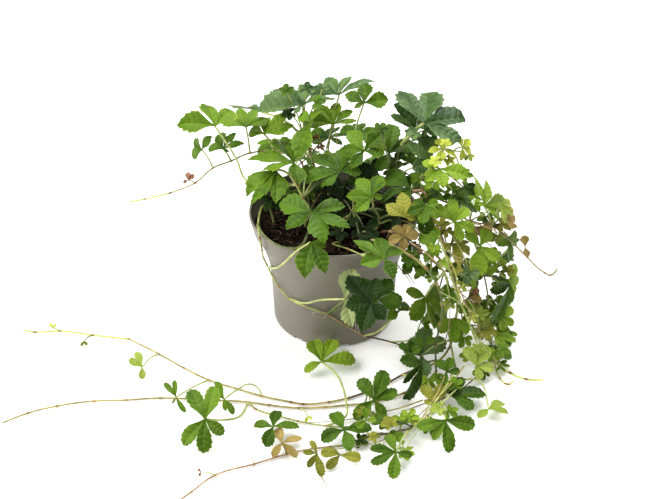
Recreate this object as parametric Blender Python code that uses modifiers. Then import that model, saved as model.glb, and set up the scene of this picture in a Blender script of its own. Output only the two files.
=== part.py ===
"""Potted miniature grape ivy: a nursery pot of soil with leafy stems that climb, spill over and trail.

The origin is the middle of the pot's base on the surface it stands on. +Z is up, +X is right in the
reference picture and +Y points away from its viewer. All lengths are metres, apart from names in _MM.
"""

from collections import namedtuple
from math import atan2, cos, pi, radians, sin, tan

import bmesh
import bpy
from mathutils import Vector
from mathutils.bvhtree import BVHTree

MM = 0.001

# The pot: a standard 12 cm nursery pot, which flares from its waist up to its collar
POT_RIM_RADIUS = 60 * MM
POT_HEIGHT = 90 * MM
POT_COLLAR_Z = 76 * MM
POT_COLLAR_RADIUS = 57.6 * MM
POT_COLLAR_STEP = 1.6 * MM
POT_WAIST_RADIUS = 46 * MM
POT_WAIST_Z = 35 * MM
POT_FLARE_Z = (48 * MM, 62 * MM)
POT_FOOT_RADIUS = 45 * MM
POT_EDGE_RADIUS = 2 * MM
POT_WALL = 1.5 * MM
POT_FLOOR = 3 * MM
POT_SIDES = 32
FOOT_RING_WIDTH = 4 * MM
FOOT_RECESS = 1.6 * MM
BASE_PAD_RADIUS = 12 * MM
DRAIN_SLOTS = 8
DRAIN_SLOT_WIDTH = 7 * MM
DRAIN_SLOT_HEIGHT = 2.4 * MM
DRAIN_SLOT_LENGTH = 16 * MM
FIRST_SLOT_ANGLE = radians(-80)

# The soil that fills it
SOIL_TOP = 81 * MM
SOIL_RADIUS = 54.8 * MM
SOIL_RINGS = 4
SOIL_SIDES = 20
SOIL_RELIEF = 1.0 * MM
SOIL_WAVES = ((210, 185, 1.3, 1.0), (420, -330, 0.7, 0.6), (-150, 260, 2.1, 0.5))
SOIL_GAP = 0.4 * MM
ROOT_DEPTH = 20 * MM
ROOT_COLLAR_HEIGHT = 3 * MM
ROOT_CLEARANCE = 0.5 * MM
ROOT_HOLE_SIDES = 8

# Stems and leaves
STEM_RADIUS = 1.05 * MM
TIP_RADIUS = 0.72 * MM
PETIOLE_RADIUS = 0.5 * MM
PETIOLE_SEAT = 0.15 * MM
BLADE_THICKNESS = 0.65 * MM
BLADE_DROOP = 0.13
BLADE_FOLD = 0.18
LEAFLET_HALF_WIDTH = 0.33
LEAFLET_SIDE = ((0.46, 0.80), (0.76, 1.0))
SMALL_LEAFLET_SIDE = ((0.62, 0.95),)
SMALL_LEAFLET = 14.5 * MM
NOTCH_SHARE = 0.12
SMALLEST_NOTCH = 0.9 * MM
LONGEST_LEAFLET = 34 * MM
GUARD_MARGIN = 0.45 * MM
FLOOR_LIFT = 0.4 * MM
LEAST_SLOPE = 0.12
WIDEST_ROOM = radians(70)
ROOM_SHARE = 0.9
TIGHTEST_LEVEL = 0.9
GUARD_SIDES = 24

# The reference picture's viewpoint, in its own 665 x 499 frame
FRAME_PX = (665, 499)
FOCAL_PX = FRAME_PX[0] * 50 / 36
VIEW_PITCH = radians(34)
VIEW_DISTANCE = 0.672
VIEW_AIM = Vector((-0.001, 0.0, 0.055))
VIEW_FORWARD = Vector((0.0, cos(VIEW_PITCH), -sin(VIEW_PITCH)))
VIEW_UP = Vector((0.0, sin(VIEW_PITCH), cos(VIEW_PITCH)))
VIEW_PLACE = VIEW_AIM - VIEW_FORWARD * VIEW_DISTANCE
NEAREST_LOOK = 0.5
LOOK_STEP = 0.4 * MM
LOOK_STEPS = 500

UP = Vector((0.0, 0.0, 1.0))

COLOURS = {
    "pot_plastic": (0.30, 0.275, 0.25),
    "peat_soil": (0.035, 0.022, 0.015),
    "foliage": (0.06, 0.16, 0.03),
    "young_foliage": (0.22, 0.36, 0.06),
}
ROUGHNESS = {"pot_plastic": 0.55, "peat_soil": 0.95, "foliage": 0.45, "young_foliage": 0.5}
YOUNG_VINES = ("bright_shoot", "right_runner", "light_shoot")

Leaf = namedtuple("Leaf", "node hub tips tone via droop width")
Strand = namedtuple("Strand", "points girth leaves rooted")
Shape = namedtuple("Shape", "centre reach tree")


# Places read from the reference picture

def sight_line(u, v):
    """The direction from the viewer through picture point (u, v)."""
    right = (u - FRAME_PX[0] / 2) / FOCAL_PX
    rise = (FRAME_PX[1] / 2 - v) / FOCAL_PX
    return VIEW_FORWARD + VIEW_UP * rise + Vector((right, 0.0, 0.0))


def air(u, v, y_mm):
    """The point seen at (u, v) that lies y_mm behind the pot's axis."""
    line = sight_line(u, v)
    return VIEW_PLACE + line * ((y_mm * MM - VIEW_PLACE.y) / line.y)


def low(u, v, z_mm=1.6):
    """The point seen at (u, v) that lies z_mm above the surface the pot stands on."""
    line = sight_line(u, v)
    return VIEW_PLACE + line * ((z_mm * MM - VIEW_PLACE.z) / line.z)


def wall_radius(z):
    """The pot's outer radius at height z: the nearly straight foot, the flare or the collar."""
    if z < POT_WAIST_Z:
        return POT_FOOT_RADIUS + (POT_WAIST_RADIUS - POT_FOOT_RADIUS) * max(0.0, z / POT_WAIST_Z)
    if z < POT_COLLAR_Z:
        share = (z - POT_WAIST_Z) / (POT_COLLAR_Z - POT_WAIST_Z)
        return POT_WAIST_RADIUS + (POT_COLLAR_RADIUS - POT_COLLAR_STEP - POT_WAIST_RADIUS) * share ** 2
    share = min(1.0, (z - POT_COLLAR_Z) / (POT_HEIGHT - POT_COLLAR_Z))
    return POT_COLLAR_RADIUS + (POT_RIM_RADIUS - POT_COLLAR_RADIUS) * share


def on_pot(u, v, gap_mm=2.0):
    """The point seen at (u, v) that lies gap_mm in front of the pot's wall, or beside its outline."""
    line = sight_line(u, v)
    best, least = None, 1.0
    for step in range(LOOK_STEPS):
        place = VIEW_PLACE + line * (NEAREST_LOOK + step * LOOK_STEP)
        room = Vector((place.x, place.y)).length - wall_radius(place.z) - gap_mm * MM
        if room < least:
            best, least = place, room
        if room < 0:
            break
    return best


def spot(x_mm, y_mm, z_mm):
    return Vector((x_mm, y_mm, z_mm)) * MM


def seen_at(place):
    """Where in the picture a point is seen."""
    way = place - VIEW_PLACE
    depth = way.dot(VIEW_FORWARD)
    return (FRAME_PX[0] / 2 + FOCAL_PX * way.x / depth, FRAME_PX[1] / 2 - FOCAL_PX * way.dot(VIEW_UP) / depth)


def leaf(node, hub, tips, tone="mid", via=(), droop=BLADE_DROOP, width=1.0):
    """A leaf that grows from point number node of its strand. Its leaflets end at picture points tips."""
    return Leaf(node, hub, tuple(tips), tone, tuple(via), droop, width)


def plain_leaf(node, hub, heading, reach_mm, tone="old"):
    """A leaf that the picture doesn't show: five level leaflets, the middle one towards heading."""
    tips = []
    for turn, share in ((-118, 0.62), (-58, 0.86), (0, 1.0), (58, 0.86), (118, 0.62)):
        angle = radians(heading + turn)
        arm = Vector((cos(angle), sin(angle), -0.12)) * (reach_mm * MM * share)
        tips.append(seen_at(hub + arm))
    return leaf(node, hub, tips, tone)


def strand(points, leaves=(), girth=1.0, rooted=True):
    """A stem with its leaves. It rises from the soil at its first point, or branches off there."""
    return Strand(tuple(points), girth, tuple(leaves), rooted)


# The stems, in the order in which they are laid out, each with its strands and their leaves

VINES = {}

VINES["left_runner"] = [strand(
    [spot(-27, 28, 78), air(302, 163, 37), air(275, 152, 35), air(250, 153, 30), air(231, 161, 25),
     air(213, 168, 21), air(195, 183, 18), air(170, 193, 16), air(145, 199, 14), air(129, 202, 12)],
    [leaf(3, air(246, 127, 26), [(222, 117), (239, 108), (257, 109), (268, 118)]),
     leaf(2, air(264, 134, 22), [(250, 131), (271, 117), (290, 114), (294, 125)], "young"),
     leaf(4, air(223, 149, 22), [(209, 147), (219, 133), (237, 133), (244, 142), (229, 152)]),
     leaf(5, air(202, 150, 18), [(192, 155), (195, 139), (212, 136)]),
     leaf(6, air(188, 180, 16), [(183, 183), (188, 172), (195, 175)], "dry"),
     leaf(2, air(290, 152, 32), [(271, 144), (283, 136), (298, 138), (305, 148)])],
    girth=0.8)]

VINES["rear_left_shoot"] = [strand(
    [spot(-15, 26, 78), air(313, 163, 30), air(308, 148, 30), air(304, 137, 28)],
    [leaf(3, air(303, 105, 24), [(277, 83), (307, 79), (331, 97), (258, 114), (293, 114)], "old"),
     leaf(2, air(311, 122, 14), [(296, 159), (299, 116), (320, 110)], via=[air(308, 138, 26)], droop=0.2),
     leaf(3, air(262, 112, 40), [(228, 106), (247, 106), (262, 103)], "grey")])]

VINES["rear_shoot"] = [strand(
    [spot(-4, 33, 78), air(330, 164, 37), air(328, 148, 38)],
    [leaf(2, air(334, 124, 30), [(302, 120), (318, 104), (337, 102), (354, 110), (358, 121)], "young"),
     leaf(2, air(339, 95, 36), [(311, 89), (328, 77), (349, 76), (374, 79)], "grey")])]

VINES["rear_right_shoot"] = [strand(
    [spot(12, 24, 78), air(352, 170, 22), air(351, 150, 22)],
    [leaf(2, air(364, 103, 24), [(344, 95), (354, 108), (366, 83), (389, 101)]),
     leaf(1, air(364, 151, -2), [(346, 132), (339, 148), (351, 168), (384, 132), (384, 155)])])]

VINES["right_crown"] = [strand(
    [spot(27, 12, 78), air(388, 186, 6), air(394, 168, 8), air(401, 145, 8)],
    [leaf(3, air(424, 123, 6), [(405, 92), (429, 93), (467, 121), (460, 142)], "grey"),
     leaf(3, air(417, 131, 14), [(390, 117), (393, 105), (404, 130)], "grey"),
     leaf(2, air(389, 153, 0), [(363, 130), (392, 124), (411, 140), (379, 171)], "old"),
     leaf(1, air(430, 162, -8), [(408, 143), (420, 134), (412, 168)], "grey"),
     leaf(1, air(410, 188, -12), [(383, 178), (380, 200), (396, 206)], "old"),
     leaf(2, air(406, 153, 18), [(394, 158), (421, 166), (414, 146)], "old")])]

VINES["bright_shoot"] = [strand(
    [spot(35, 2, 78), air(415, 188, -3), air(430, 168, -5), air(442, 160, -6), air(453, 151, -6)],
    [leaf(4, air(443, 149, -12), [(439, 138), (453, 139), (456, 157), (439, 162), (428, 152)], "lime"),
     leaf(2, air(440, 169, -16), [(421, 163), (425, 182), (445, 188), (469, 177)], "young"),
     leaf(4, air(462, 147, -6), [(458, 136), (470, 139), (471, 152), (462, 161)], "lime"),
     leaf(1, air(452, 196, -6), [(478, 214), (470, 197), (456, 186), (441, 198)], "old")],
    girth=0.7)]

VINES["right_runner"] = [strand(
    [spot(44, 10, 78), spot(55, 9, 97), air(440, 195, 0), air(455, 212, -4), air(470, 221, -10),
     air(492, 226, -14), air(513, 243, -16), air(527, 257, -16), air(545, 273, -16), air(551, 275, -16),
     air(557, 269, -16)],
    [leaf(5, air(484, 206, -16), [(475, 174), (488, 181), (505, 199), (501, 217)], "young"),
     leaf(5, air(506, 216, -18), [(511, 206), (516, 219), (513, 229)], "bronze"),
     leaf(6, air(507, 238, -20), [(509, 263), (517, 236), (498, 246)], "old"),
     leaf(7, air(525, 247, -16), [(524, 235), (527, 258)], "bronze"),
     leaf(6, air(508, 281, -22), [(517, 265), (519, 279), (515, 294)], "young", via=[air(497, 268, -18)]),
     leaf(4, air(482, 226, -10), [(470, 236), (492, 238), (496, 226)], "bronze"),
     leaf(5, air(500, 204, -12), [(512, 206), (514, 216), (506, 222)], "young")],
    girth=0.75)]

VINES["right_cascade"] = [strand(
    [spot(44, -12, 78), air(421, 190, -20), air(430, 210, -24), air(440, 232, -28), air(449, 260, -34),
     air(455, 284, -40), air(461, 305, -46), air(470, 325, -52), air(481, 343, -58), air(494, 361, -65),
     low(510, 373, 2.6), low(526, 379, 1.6), low(543, 380, 1.6)],
    [leaf(3, air(454, 222, -34), [(440, 208), (453, 199), (468, 208), (474, 231), (464, 240)], "young"),
     leaf(6, air(455, 318, -50), [(438, 332), (456, 342), (467, 334)], "young"),
     leaf(8, air(476, 366, -62), [(468, 346), (488, 346), (494, 368), (480, 380)], "soft"),
     leaf(7, air(482, 340, -58), [(477, 308), (488, 316), (474, 328)], "soft"),
     leaf(5, air(468, 284, -44), [(472, 266), (458, 274), (478, 288)], "old"),
     leaf(4, air(451, 243, -40), [(470, 256), (462, 264), (458, 232), (442, 250)], "olive"),
     leaf(2, air(426, 198, -14), [(437, 210), (412, 212), (437, 190), (418, 224)], "old"),
     leaf(6, air(468, 298, -46), [(478, 288), (482, 300), (472, 310)], "bronze"),
     leaf(2, air(426, 208, -18), [(411, 221), (429, 233), (419, 232)], "old"),
     leaf(5, air(470, 276, -46), [(476, 276), (474, 289), (468, 284)], "young")],
    girth=1.0)]

VINES["dark_cascade"] = [strand(
    [spot(44, -1, 78), spot(54, -3, 98), air(448, 203, -10), air(463, 222, -15), air(476, 247, -18),
     air(484, 275, -23), air(488, 300, -27), air(487, 322, -34), air(490, 342, -42), low(494, 362, 1.6),
     low(500, 378, 1.6), low(507, 384, 1.6), low(514, 381, 1.6)],
    [leaf(5, air(510, 284, -24), [(490, 292), (494, 327), (506, 306), (500, 279)], "old"),
     leaf(7, air(501, 318, -38), [(513, 308), (514, 324), (503, 331)], "young"),
     leaf(8, air(494, 335, -48), [(516, 341), (510, 329), (505, 348)], "young"),
     leaf(8, air(495, 354, -62), [(512, 357), (506, 347), (494, 345)], "old"),
     leaf(4, air(480, 246, -18), [(466, 233), (490, 231), (478, 277), (498, 262)], "young"),
     leaf(5, air(497, 268, -24), [(485, 254), (486, 273), (502, 257)], "young"),
     leaf(6, air(480, 302, -34), [(471, 290), (470, 310), (486, 318)], "old"),
     leaf(7, air(500, 338, -42), [(512, 332), (511, 346), (498, 350)])],
    girth=0.8)]

VINES["inner_cascade"] = [strand(
    [spot(28, -31, 78), spot(38, -41, 97), air(419, 251, -48), air(432, 260, -51), air(444, 272, -52),
     air(449, 296, -52), air(446, 318, -54), air(450, 340, -58), low(455, 366, 4), low(448, 385, 2.2),
     low(441, 401, 1.8), low(427, 416, 1.8), low(413, 427, 1.6), low(400, 431, 1.6), low(386, 434, 1.6),
     low(366, 438, 1.6), low(350, 444, 1.6), low(330, 447, 1.6), low(311, 449, 1.6), low(287, 454, 1.6),
     low(254, 464, 1.6), low(215, 475, 1.6), low(191, 492, 1.6), low(180, 500, 1.6)],
    [leaf(2, air(404, 236, -50), [(388, 241), (394, 226), (409, 225), (418, 236), (404, 251)], "bronze"),
     leaf(4, air(425, 297, -48), [(406, 291), (441, 289), (410, 319), (432, 330), (445, 318)],
          via=[air(432, 286, -50)]),
     leaf(7, low(421, 356, 13), [(406, 343), (432, 328), (444, 338), (427, 377)], "grey"),
     leaf(8, low(422, 363, 8), [(400, 362), (402, 381), (404, 400)]),
     leaf(10, low(436, 403, 9), [(421, 386), (441, 384), (424, 402)], "soft"),
     leaf(9, low(453, 397, 9), [(483, 391), (458, 377), (473, 410), (442, 384)], "old"),
     leaf(10, low(445, 420, 10), [(475, 426), (449, 453), (435, 441), (418, 430)], width=0.8),
     leaf(9, low(489, 409, 6), [(479, 418), (504, 403), (508, 413)], "lime", via=[low(477, 380, 9)],
          width=0.9),
     leaf(13, low(401, 425, 8), [(379, 428), (392, 416), (406, 412), (421, 419)], width=0.85),
     leaf(12, low(396, 452, 9), [(370, 450), (370, 461), (388, 434), (412, 457), (393, 479)], width=0.8),
     leaf(17, low(340, 455, 6), [(321, 451), (328, 470), (361, 459)], "olive", width=0.8),
     leaf(18, low(317, 453, 6), [(312, 440), (303, 453), (309, 468), (320, 477)], "olive", width=0.7),
     leaf(19, low(282, 443, 6), [(272, 457), (277, 429), (302, 438), (298, 457)], "bronze", width=0.8),
     leaf(21, low(201, 472, 3), [(198, 469), (199, 476)], "dry"),
     leaf(8, low(447, 372, 12), [(438, 360), (452, 358), (460, 372), (443, 384)], "old"),
     leaf(5, air(452, 290, -54), [(442, 297), (444, 285), (453, 304)], "old"),
     leaf(3, air(424, 268, -46), [(414, 262), (416, 280), (434, 276)])],
    girth=0.85)]

VINES["light_shoot"] = [strand(
    [spot(14, -25, 78), air(376, 229, -28), air(379, 219, -28), air(373, 207, -27)],
    [leaf(3, air(372, 197, -28), [(346, 196), (355, 213), (357, 178), (380, 175), (383, 197)], "young"),
     leaf(2, air(405, 217, -42), [(386, 204), (404, 192), (423, 202), (416, 219)], "olive")],
    girth=0.8)]

VINES["rim_shoot"] = [strand(
    [spot(28, -18, 78), air(408, 222, -30), air(424, 236, -36)],
    [leaf(2, air(434, 246, -42), [(419, 236), (434, 228), (426, 263)]),
     leaf(2, air(414, 262, -54), [(400, 252), (402, 274), (425, 277), (416, 248)]),
     leaf(1, air(436, 264, -46), [(433, 280), (442, 268)])],
    girth=0.8)]

VINES["front_shoot"] = [strand(
    [spot(4, -36, 78), air(333, 244, -44), air(348, 249, -55), air(362, 255, -63)],
    [leaf(3, air(384, 258, -66), [(353, 241), (376, 237), (361, 266), (394, 279), (400, 249)])],
    girth=0.7)]

VINES["shade_shoot"] = [strand(
    [spot(4, -8, 78), air(352, 212, -10), air(352, 192, -4)],
    [leaf(2, air(370, 165, 4), [(352, 170), (360, 179), (380, 162), (374, 184)], "shade"),
     leaf(1, air(344, 200, -6), [(328, 186), (352, 184), (364, 206), (334, 216)], "shade"),
     leaf(1, air(364, 228, -20), [(350, 221), (352, 237), (378, 238), (378, 222)], "shade"),
     leaf(1, air(396, 214, -16), [(380, 216), (396, 228), (416, 218)], "shade")],
    girth=0.8)]

VINES["front_left_shoot"] = [strand(
    [spot(-20, -12, 78), air(310, 212, -18), air(303, 198, -16), air(296, 185, -12), air(289, 174, -8)],
    [leaf(4, air(294, 163, -14), [(238, 161), (283, 138), (300, 184), (262, 170)]),
     leaf(4, air(276, 170, -6), [(245, 195), (253, 206), (279, 203)]),
     leaf(2, air(340, 172, 6), [(317, 153), (343, 149), (304, 180), (320, 186), (362, 172)], "old"),
     leaf(3, air(215, 126, 2), [(177, 123), (209, 104), (231, 109)], "young",
          via=[air(262, 184, -8), air(247, 181, -4), air(236, 158, 0)]),
     leaf(1, air(322, 193, 2), [(300, 190), (312, 182), (338, 190), (326, 206)], "shade"),
     leaf(2, air(272, 198, -12), [(258, 196), (264, 211), (280, 211)], "shade")])]

VINES["loop_stem"] = [strand(
    [spot(-43, -4, 78), air(265, 204, -10), air(258, 225, -29), on_pot(260, 238, 2.6), on_pot(262, 250),
     on_pot(268, 267), on_pot(279, 287), on_pot(290, 299), on_pot(307, 307), on_pot(327, 314),
     on_pot(345, 325), on_pot(364, 336), low(391, 342, 1.8), low(409, 349, 1.6), low(424, 358, 1.6)],
    [leaf(2, air(311, 212, -46), [(279, 203), (286, 230), (325, 243), (351, 227), (346, 208)],
          via=[low(262, 233, 95), low(275, 244, 94), low(288, 248, 95), low(299, 247, 96),
               air(308, 233, -54)]),
     leaf(5, air(311, 242, -63), [(302, 278), (327, 273), (326, 247)],
          via=[on_pot(276, 268, 3), on_pot(284, 263, 5), on_pot(298, 250, 5)]),
     leaf(9, air(377, 299, -68), [(354, 281), (392, 279), (401, 306), (367, 323), (351, 308)], "old",
          via=[on_pot(347, 306, 6)]),
     leaf(7, air(345, 299, -54), [(351, 268), (353, 327), (367, 317)], "pale",
          via=[on_pot(302, 303, 2.2), on_pot(320, 300, 2.6)]),
     leaf(11, air(399, 311, -58), [(391, 291), (408, 304), (386, 318)], via=[air(383, 328, -60)]),
     leaf(12, air(421, 322, -54), [(416, 311), (428, 318), (430, 330)], "young", via=[low(409, 340, 5)])],
    girth=0.85)]

VINES["far_runner"] = [strand(
    [spot(38, -23, 78), spot(48, -35, 97), air(437, 256, -43), air(452, 276, -46), air(457, 300, -49),
     air(455, 325, -52), air(449, 348, -56), low(437, 362, 2), low(421, 367, 1.8), low(402, 375, 1.8),
     low(391, 381, 1.8), low(369, 391, 1.8), low(349, 398, 1.8), low(329, 402, 1.6), low(303, 404, 1.6),
     low(291, 402, 1.6), low(262, 396, 1.6), low(238, 389, 1.6), low(209, 380, 1.6), low(184, 368, 1.6),
     low(159, 354, 1.6), low(129, 339, 1.6), low(93, 335, 1.6), low(60, 331, 1.6), low(35, 332, 1.6),
     low(23, 330, 1.6)],
    [leaf(11, low(374, 400, 8), [(361, 378), (388, 372), (398, 393), (353, 418), (385, 417)], width=0.85),
     leaf(16, low(224, 399, 7), [(209, 388), (215, 382), (225, 411), (234, 414)], "young",
          via=[low(258, 388, 4), low(250, 384, 6), low(240, 388, 7)], width=0.75),
     leaf(18, low(176, 397, 5), [(165, 382), (174, 380), (173, 404), (184, 413)], via=[low(197, 385, 4)],
          width=0.5),
     leaf(20, low(142, 367, 4), [(136, 352), (130, 358), (143, 379)], "lime"),
     leaf(23, low(53, 328, 3), [(50, 323), (56, 324)], "lime"),
     leaf(22, low(84, 341, 3), [(81, 346), (87, 345)], "olive"),
     leaf(8, low(409, 352, 9), [(399, 344), (412, 341), (420, 350)], "old")],
    girth=0.9)]

VINES["near_runner"] = [strand(
    [spot(18, -38, 78), spot(30, -53, 97), air(411, 256, -60), air(426, 268, -63), air(437, 284, -64),
     air(442, 304, -66), air(440, 324, -67), air(436, 345, -69), low(436, 372, 2), low(424, 383, 1.8),
     low(404, 393, 1.8), low(388, 398, 1.8), low(369, 403, 1.8), low(347, 405, 1.8), low(325, 407, 1.6),
     low(300, 408, 1.6), low(269, 405, 1.6), low(248, 402, 1.6), low(208, 400, 1.6), low(160, 398, 1.6),
     low(126, 400, 1.6), low(94, 401, 1.6), low(57, 406, 1.6), low(28, 413, 1.6), low(2, 423, 1.6)],
    [leaf(17, low(205, 419, 15), [(194, 388), (217, 387), (182, 444), (202, 453), (224, 434)],
          via=[low(240, 416, 3), low(224, 420, 8)], width=0.85),
     leaf(15, low(308, 416, 3), [(306, 422), (312, 419)], "lime"),
     leaf(7, air(424, 346, -76), [(412, 352), (416, 338), (434, 338)], "old")],
    girth=0.9),
    strand(
    [low(248, 402, 1.6), low(256, 409, 1.6), low(279, 416, 1.6), low(298, 421, 1.6), low(327, 426, 1.6),
     low(347, 427, 1.6), low(362, 424, 1.6)],
    [leaf(2, low(273, 427, 9), [(254, 424), (276, 411), (267, 447), (299, 425)], width=0.85),
     leaf(4, low(322, 362, 9), [(311, 340), (334, 340), (356, 361), (304, 371)], "young",
          via=[low(346, 416, 5), low(346, 402, 9), low(343, 388, 10), low(336, 374, 10)], width=0.85),
     leaf(5, low(344, 430, 9), [(331, 413), (321, 440), (352, 450), (372, 429)], "old", width=0.9),
     leaf(6, low(366, 420, 9), [(357, 428), (366, 408), (376, 420)], "young")],
    girth=0.7, rooted=False)]

# Two shoots behind, which the picture hides
VINES["back_left_shoot"] = [strand(
    [spot(-12, 44, 78), spot(-18, 58, 101), spot(-26, 70, 92), spot(-34, 78, 72), spot(-39, 82, 50)],
    [plain_leaf(1, spot(-4, 58, 116), 80, 21),
     plain_leaf(2, spot(-42, 60, 108), 150, 19, "mid"),
     plain_leaf(3, spot(-22, 84, 84), 60, 19),
     plain_leaf(4, spot(-46, 84, 62), 120, 15, "mid")],
    girth=0.8)]

VINES["back_right_shoot"] = [strand(
    [spot(22, 40, 78), spot(32, 54, 100), spot(43, 66, 90), spot(50, 74, 68), spot(53, 78, 46)],
    [plain_leaf(1, spot(20, 58, 120), 95, 20),
     plain_leaf(2, spot(56, 56, 106), 20, 19, "mid"),
     plain_leaf(3, spot(38, 82, 82), 110, 18),
     plain_leaf(4, spot(62, 78, 60), 60, 16, "mid")],
    girth=0.8)]


# Blades: a leaf is one thin arched sheet, cut to the hub between its leaflets

def leaf_facing(hub, tips):
    """The upward facing that makes a leaf's leaflets come out most alike in length."""
    best = None
    for lift in (25, 40, 55, 70, 85, 100):
        for turn in (-50, -25, 0, 25, 50):
            level = cos(radians(lift))
            facing = Vector((sin(radians(turn)) * level, -cos(radians(turn)) * level, sin(radians(lift))))
            lengths = [(meet_plane(u, v, hub, facing) - hub).length for u, v in tips]
            mean = sum(lengths) / len(lengths)
            cost = (max(lengths) - min(lengths)) / mean + 0.004 * abs(lift - 62) + 0.003 * abs(turn)
            if best is None or cost < best[0]:
                best = (cost, facing)
    return best[1]


def meet_plane(u, v, place, facing):
    """Where the sight line through (u, v) meets the plane through place."""
    line = sight_line(u, v)
    slope = line.dot(facing)
    if abs(slope) < LEAST_SLOPE:
        slope = LEAST_SLOPE if slope > 0 else -LEAST_SLOPE
    return VIEW_PLACE + line * ((place - VIEW_PLACE).dot(facing) / slope)


def square_to(way):
    """A unit vector square to way, and level unless way itself is nearly upright."""
    other = UP if abs(way.z) < TIGHTEST_LEVEL else Vector((1.0, 0.0, 0.0))
    return way.cross(other).normalized()


def leaflet_arms(hub, facing, tips, droop):
    """Each leaflet's angle and reach from the hub along the leaf's plane, in order round the facing."""
    first = square_to(facing)
    second = facing.cross(first)
    span = max((meet_plane(u, v, hub, facing) - hub).length for u, v in tips)
    sag = facing * (droop * min(span, LONGEST_LEAFLET))
    arms = []
    for u, v in tips:
        arm = meet_plane(u, v, hub - sag, facing) - (hub - sag)
        arm -= facing * arm.dot(facing)
        if arm.length > LONGEST_LEAFLET:
            arm *= LONGEST_LEAFLET / arm.length
        arms.append((atan2(arm.dot(second), arm.dot(first)), arm))
    arms.sort(key=lambda item: item[0])
    return arms


def side_points(arm, across, room, leaf_width):
    """The widest point and the shoulder tooth on one side of a leaflet, inside its half of the gap."""
    reach = arm.length
    limit = tan(min(room, WIDEST_ROOM)) * ROOM_SHARE
    points = []
    for along, half in SMALL_LEAFLET_SIDE if reach < SMALL_LEAFLET else LEAFLET_SIDE:
        width = min(LEAFLET_HALF_WIDTH * leaf_width * half, limit * along) * reach
        points.append((arm * along + across * width, along, width))
    return points


def blade_sheet(hub, facing, arms, record):
    """A leaf's sheet, as points in order round its edge and triangles that face along facing.

    Each leaflet's triangles fan out from its tip, and the leaflets stand round a small flat middle.
    """
    sag = record.droop * max(arm.length for _, arm in arms)
    points, notches = [], []
    for number, (angle, arm) in enumerate(arms):
        before = arms[number - 1]
        after = arms[(number + 1) % len(arms)]
        gap_before = (angle - before[0]) % (2 * pi)
        gap_after = (after[0] - angle) % (2 * pi)
        across = facing.cross(arm).normalized()
        notch = max(NOTCH_SHARE * (arm.length + before[1].length) / 2, SMALLEST_NOTCH)
        notches.append(len(points))
        points.append(hub + turned(arm, facing, -gap_before / 2).normalized() * notch)
        right = side_points(arm, -across, gap_before / 2, record.width)
        left = side_points(arm, across, gap_after / 2, record.width)
        for offset, along, half in right + [(arm, 1.0, 0.0)] + left[::-1]:
            points.append(hub + offset + facing * (half * BLADE_FOLD - sag * along ** 2))
    faces = [(notches[0], notches[k], notches[k + 1]) for k in range(1, len(notches) - 1)]
    for number, start in enumerate(notches):
        end = notches[(number + 1) % len(notches)]
        ring = list(range(start, end or len(points))) + [end]
        tip = len(ring) // 2
        ring = ring[tip:] + ring[:tip]
        faces += [(ring[0], ring[k], ring[k + 1]) for k in range(1, len(ring) - 1)]
    return points, faces


def turned(arm, axis, angle):
    return arm * cos(angle) + axis.cross(arm) * sin(angle)


def thickened(sheet, facing, thickness):
    """The points and faces of a solid blade: the sheet moved to both sides, and a rim of triangles."""
    points, faces = sheet
    count = len(points)
    lift = facing * (thickness / 2)
    solid = [point + lift for point in points] + [point - lift for point in points]
    skin = faces + [(a + count, c + count, b + count) for a, b, c in faces]
    for start in range(count):
        end = (start + 1) % count
        skin += [(start, start + count, end + count), (start, end + count, end)]
    return solid, skin


def shape_of(points, faces):
    """A guard shape for the clearance search: its middle, its reach and its search tree."""
    centre = sum(points, Vector()) / len(points)
    reach = max((point - centre).length for point in points)
    return Shape(centre, reach, BVHTree.FromPolygons(points, faces))


def tube_guard(points, radius):
    """Three-sided sleeves along a stem or petiole."""
    corners, faces = [], []
    for start, end in zip(points, points[1:]):
        way = (end - start).normalized()
        side = square_to(way)
        base = len(corners)
        for place in (start, end):
            corners += [place + turned(side, way, 2 * pi * turn / 3) * radius for turn in range(3)]
        for turn in range(3):
            a, b = base + turn, base + (turn + 1) % 3
            faces += [(a, b, b + 3), (a, b + 3, a + 3)]
    return shape_of(corners, faces)


def meets(shape, others):
    for other in others:
        if (shape.centre - other.centre).length < shape.reach + other.reach:
            if shape.tree.overlap(other.tree):
                return True
    return False


# Clearance search: a leaf keeps its place in the picture and moves along the sight line until it is clear

SHIFTS_MM = (0, 4, -4, 8, -8, 12, -12, 16, -16, 20, -20, 25, -25, 30, -30, 36, -36)
PETIOLE_BOWS = ((0.10, 0.0), (0.0, 0.0), (0.25, 0.0), (0.08, 0.16), (0.08, -0.16), (-0.08, 0.0), (0.4, 0.0))


def petiole_route(start, hub, via, bow):
    """The petiole's points: through via where the picture shows it, and else in a bow that rises or leans."""
    if via:
        return [start, *via, hub]
    way = hub - start
    aside = square_to(way)
    middle = (start + hub) / 2 + (UP * bow[0] + aside * bow[1]) * way.length
    return [start, middle, hub]


def slid_along_sight(place, shift):
    """The place moved along its sight line until its depth has changed by shift."""
    line = place - VIEW_PLACE
    return place + line * (shift / line.y)


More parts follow.
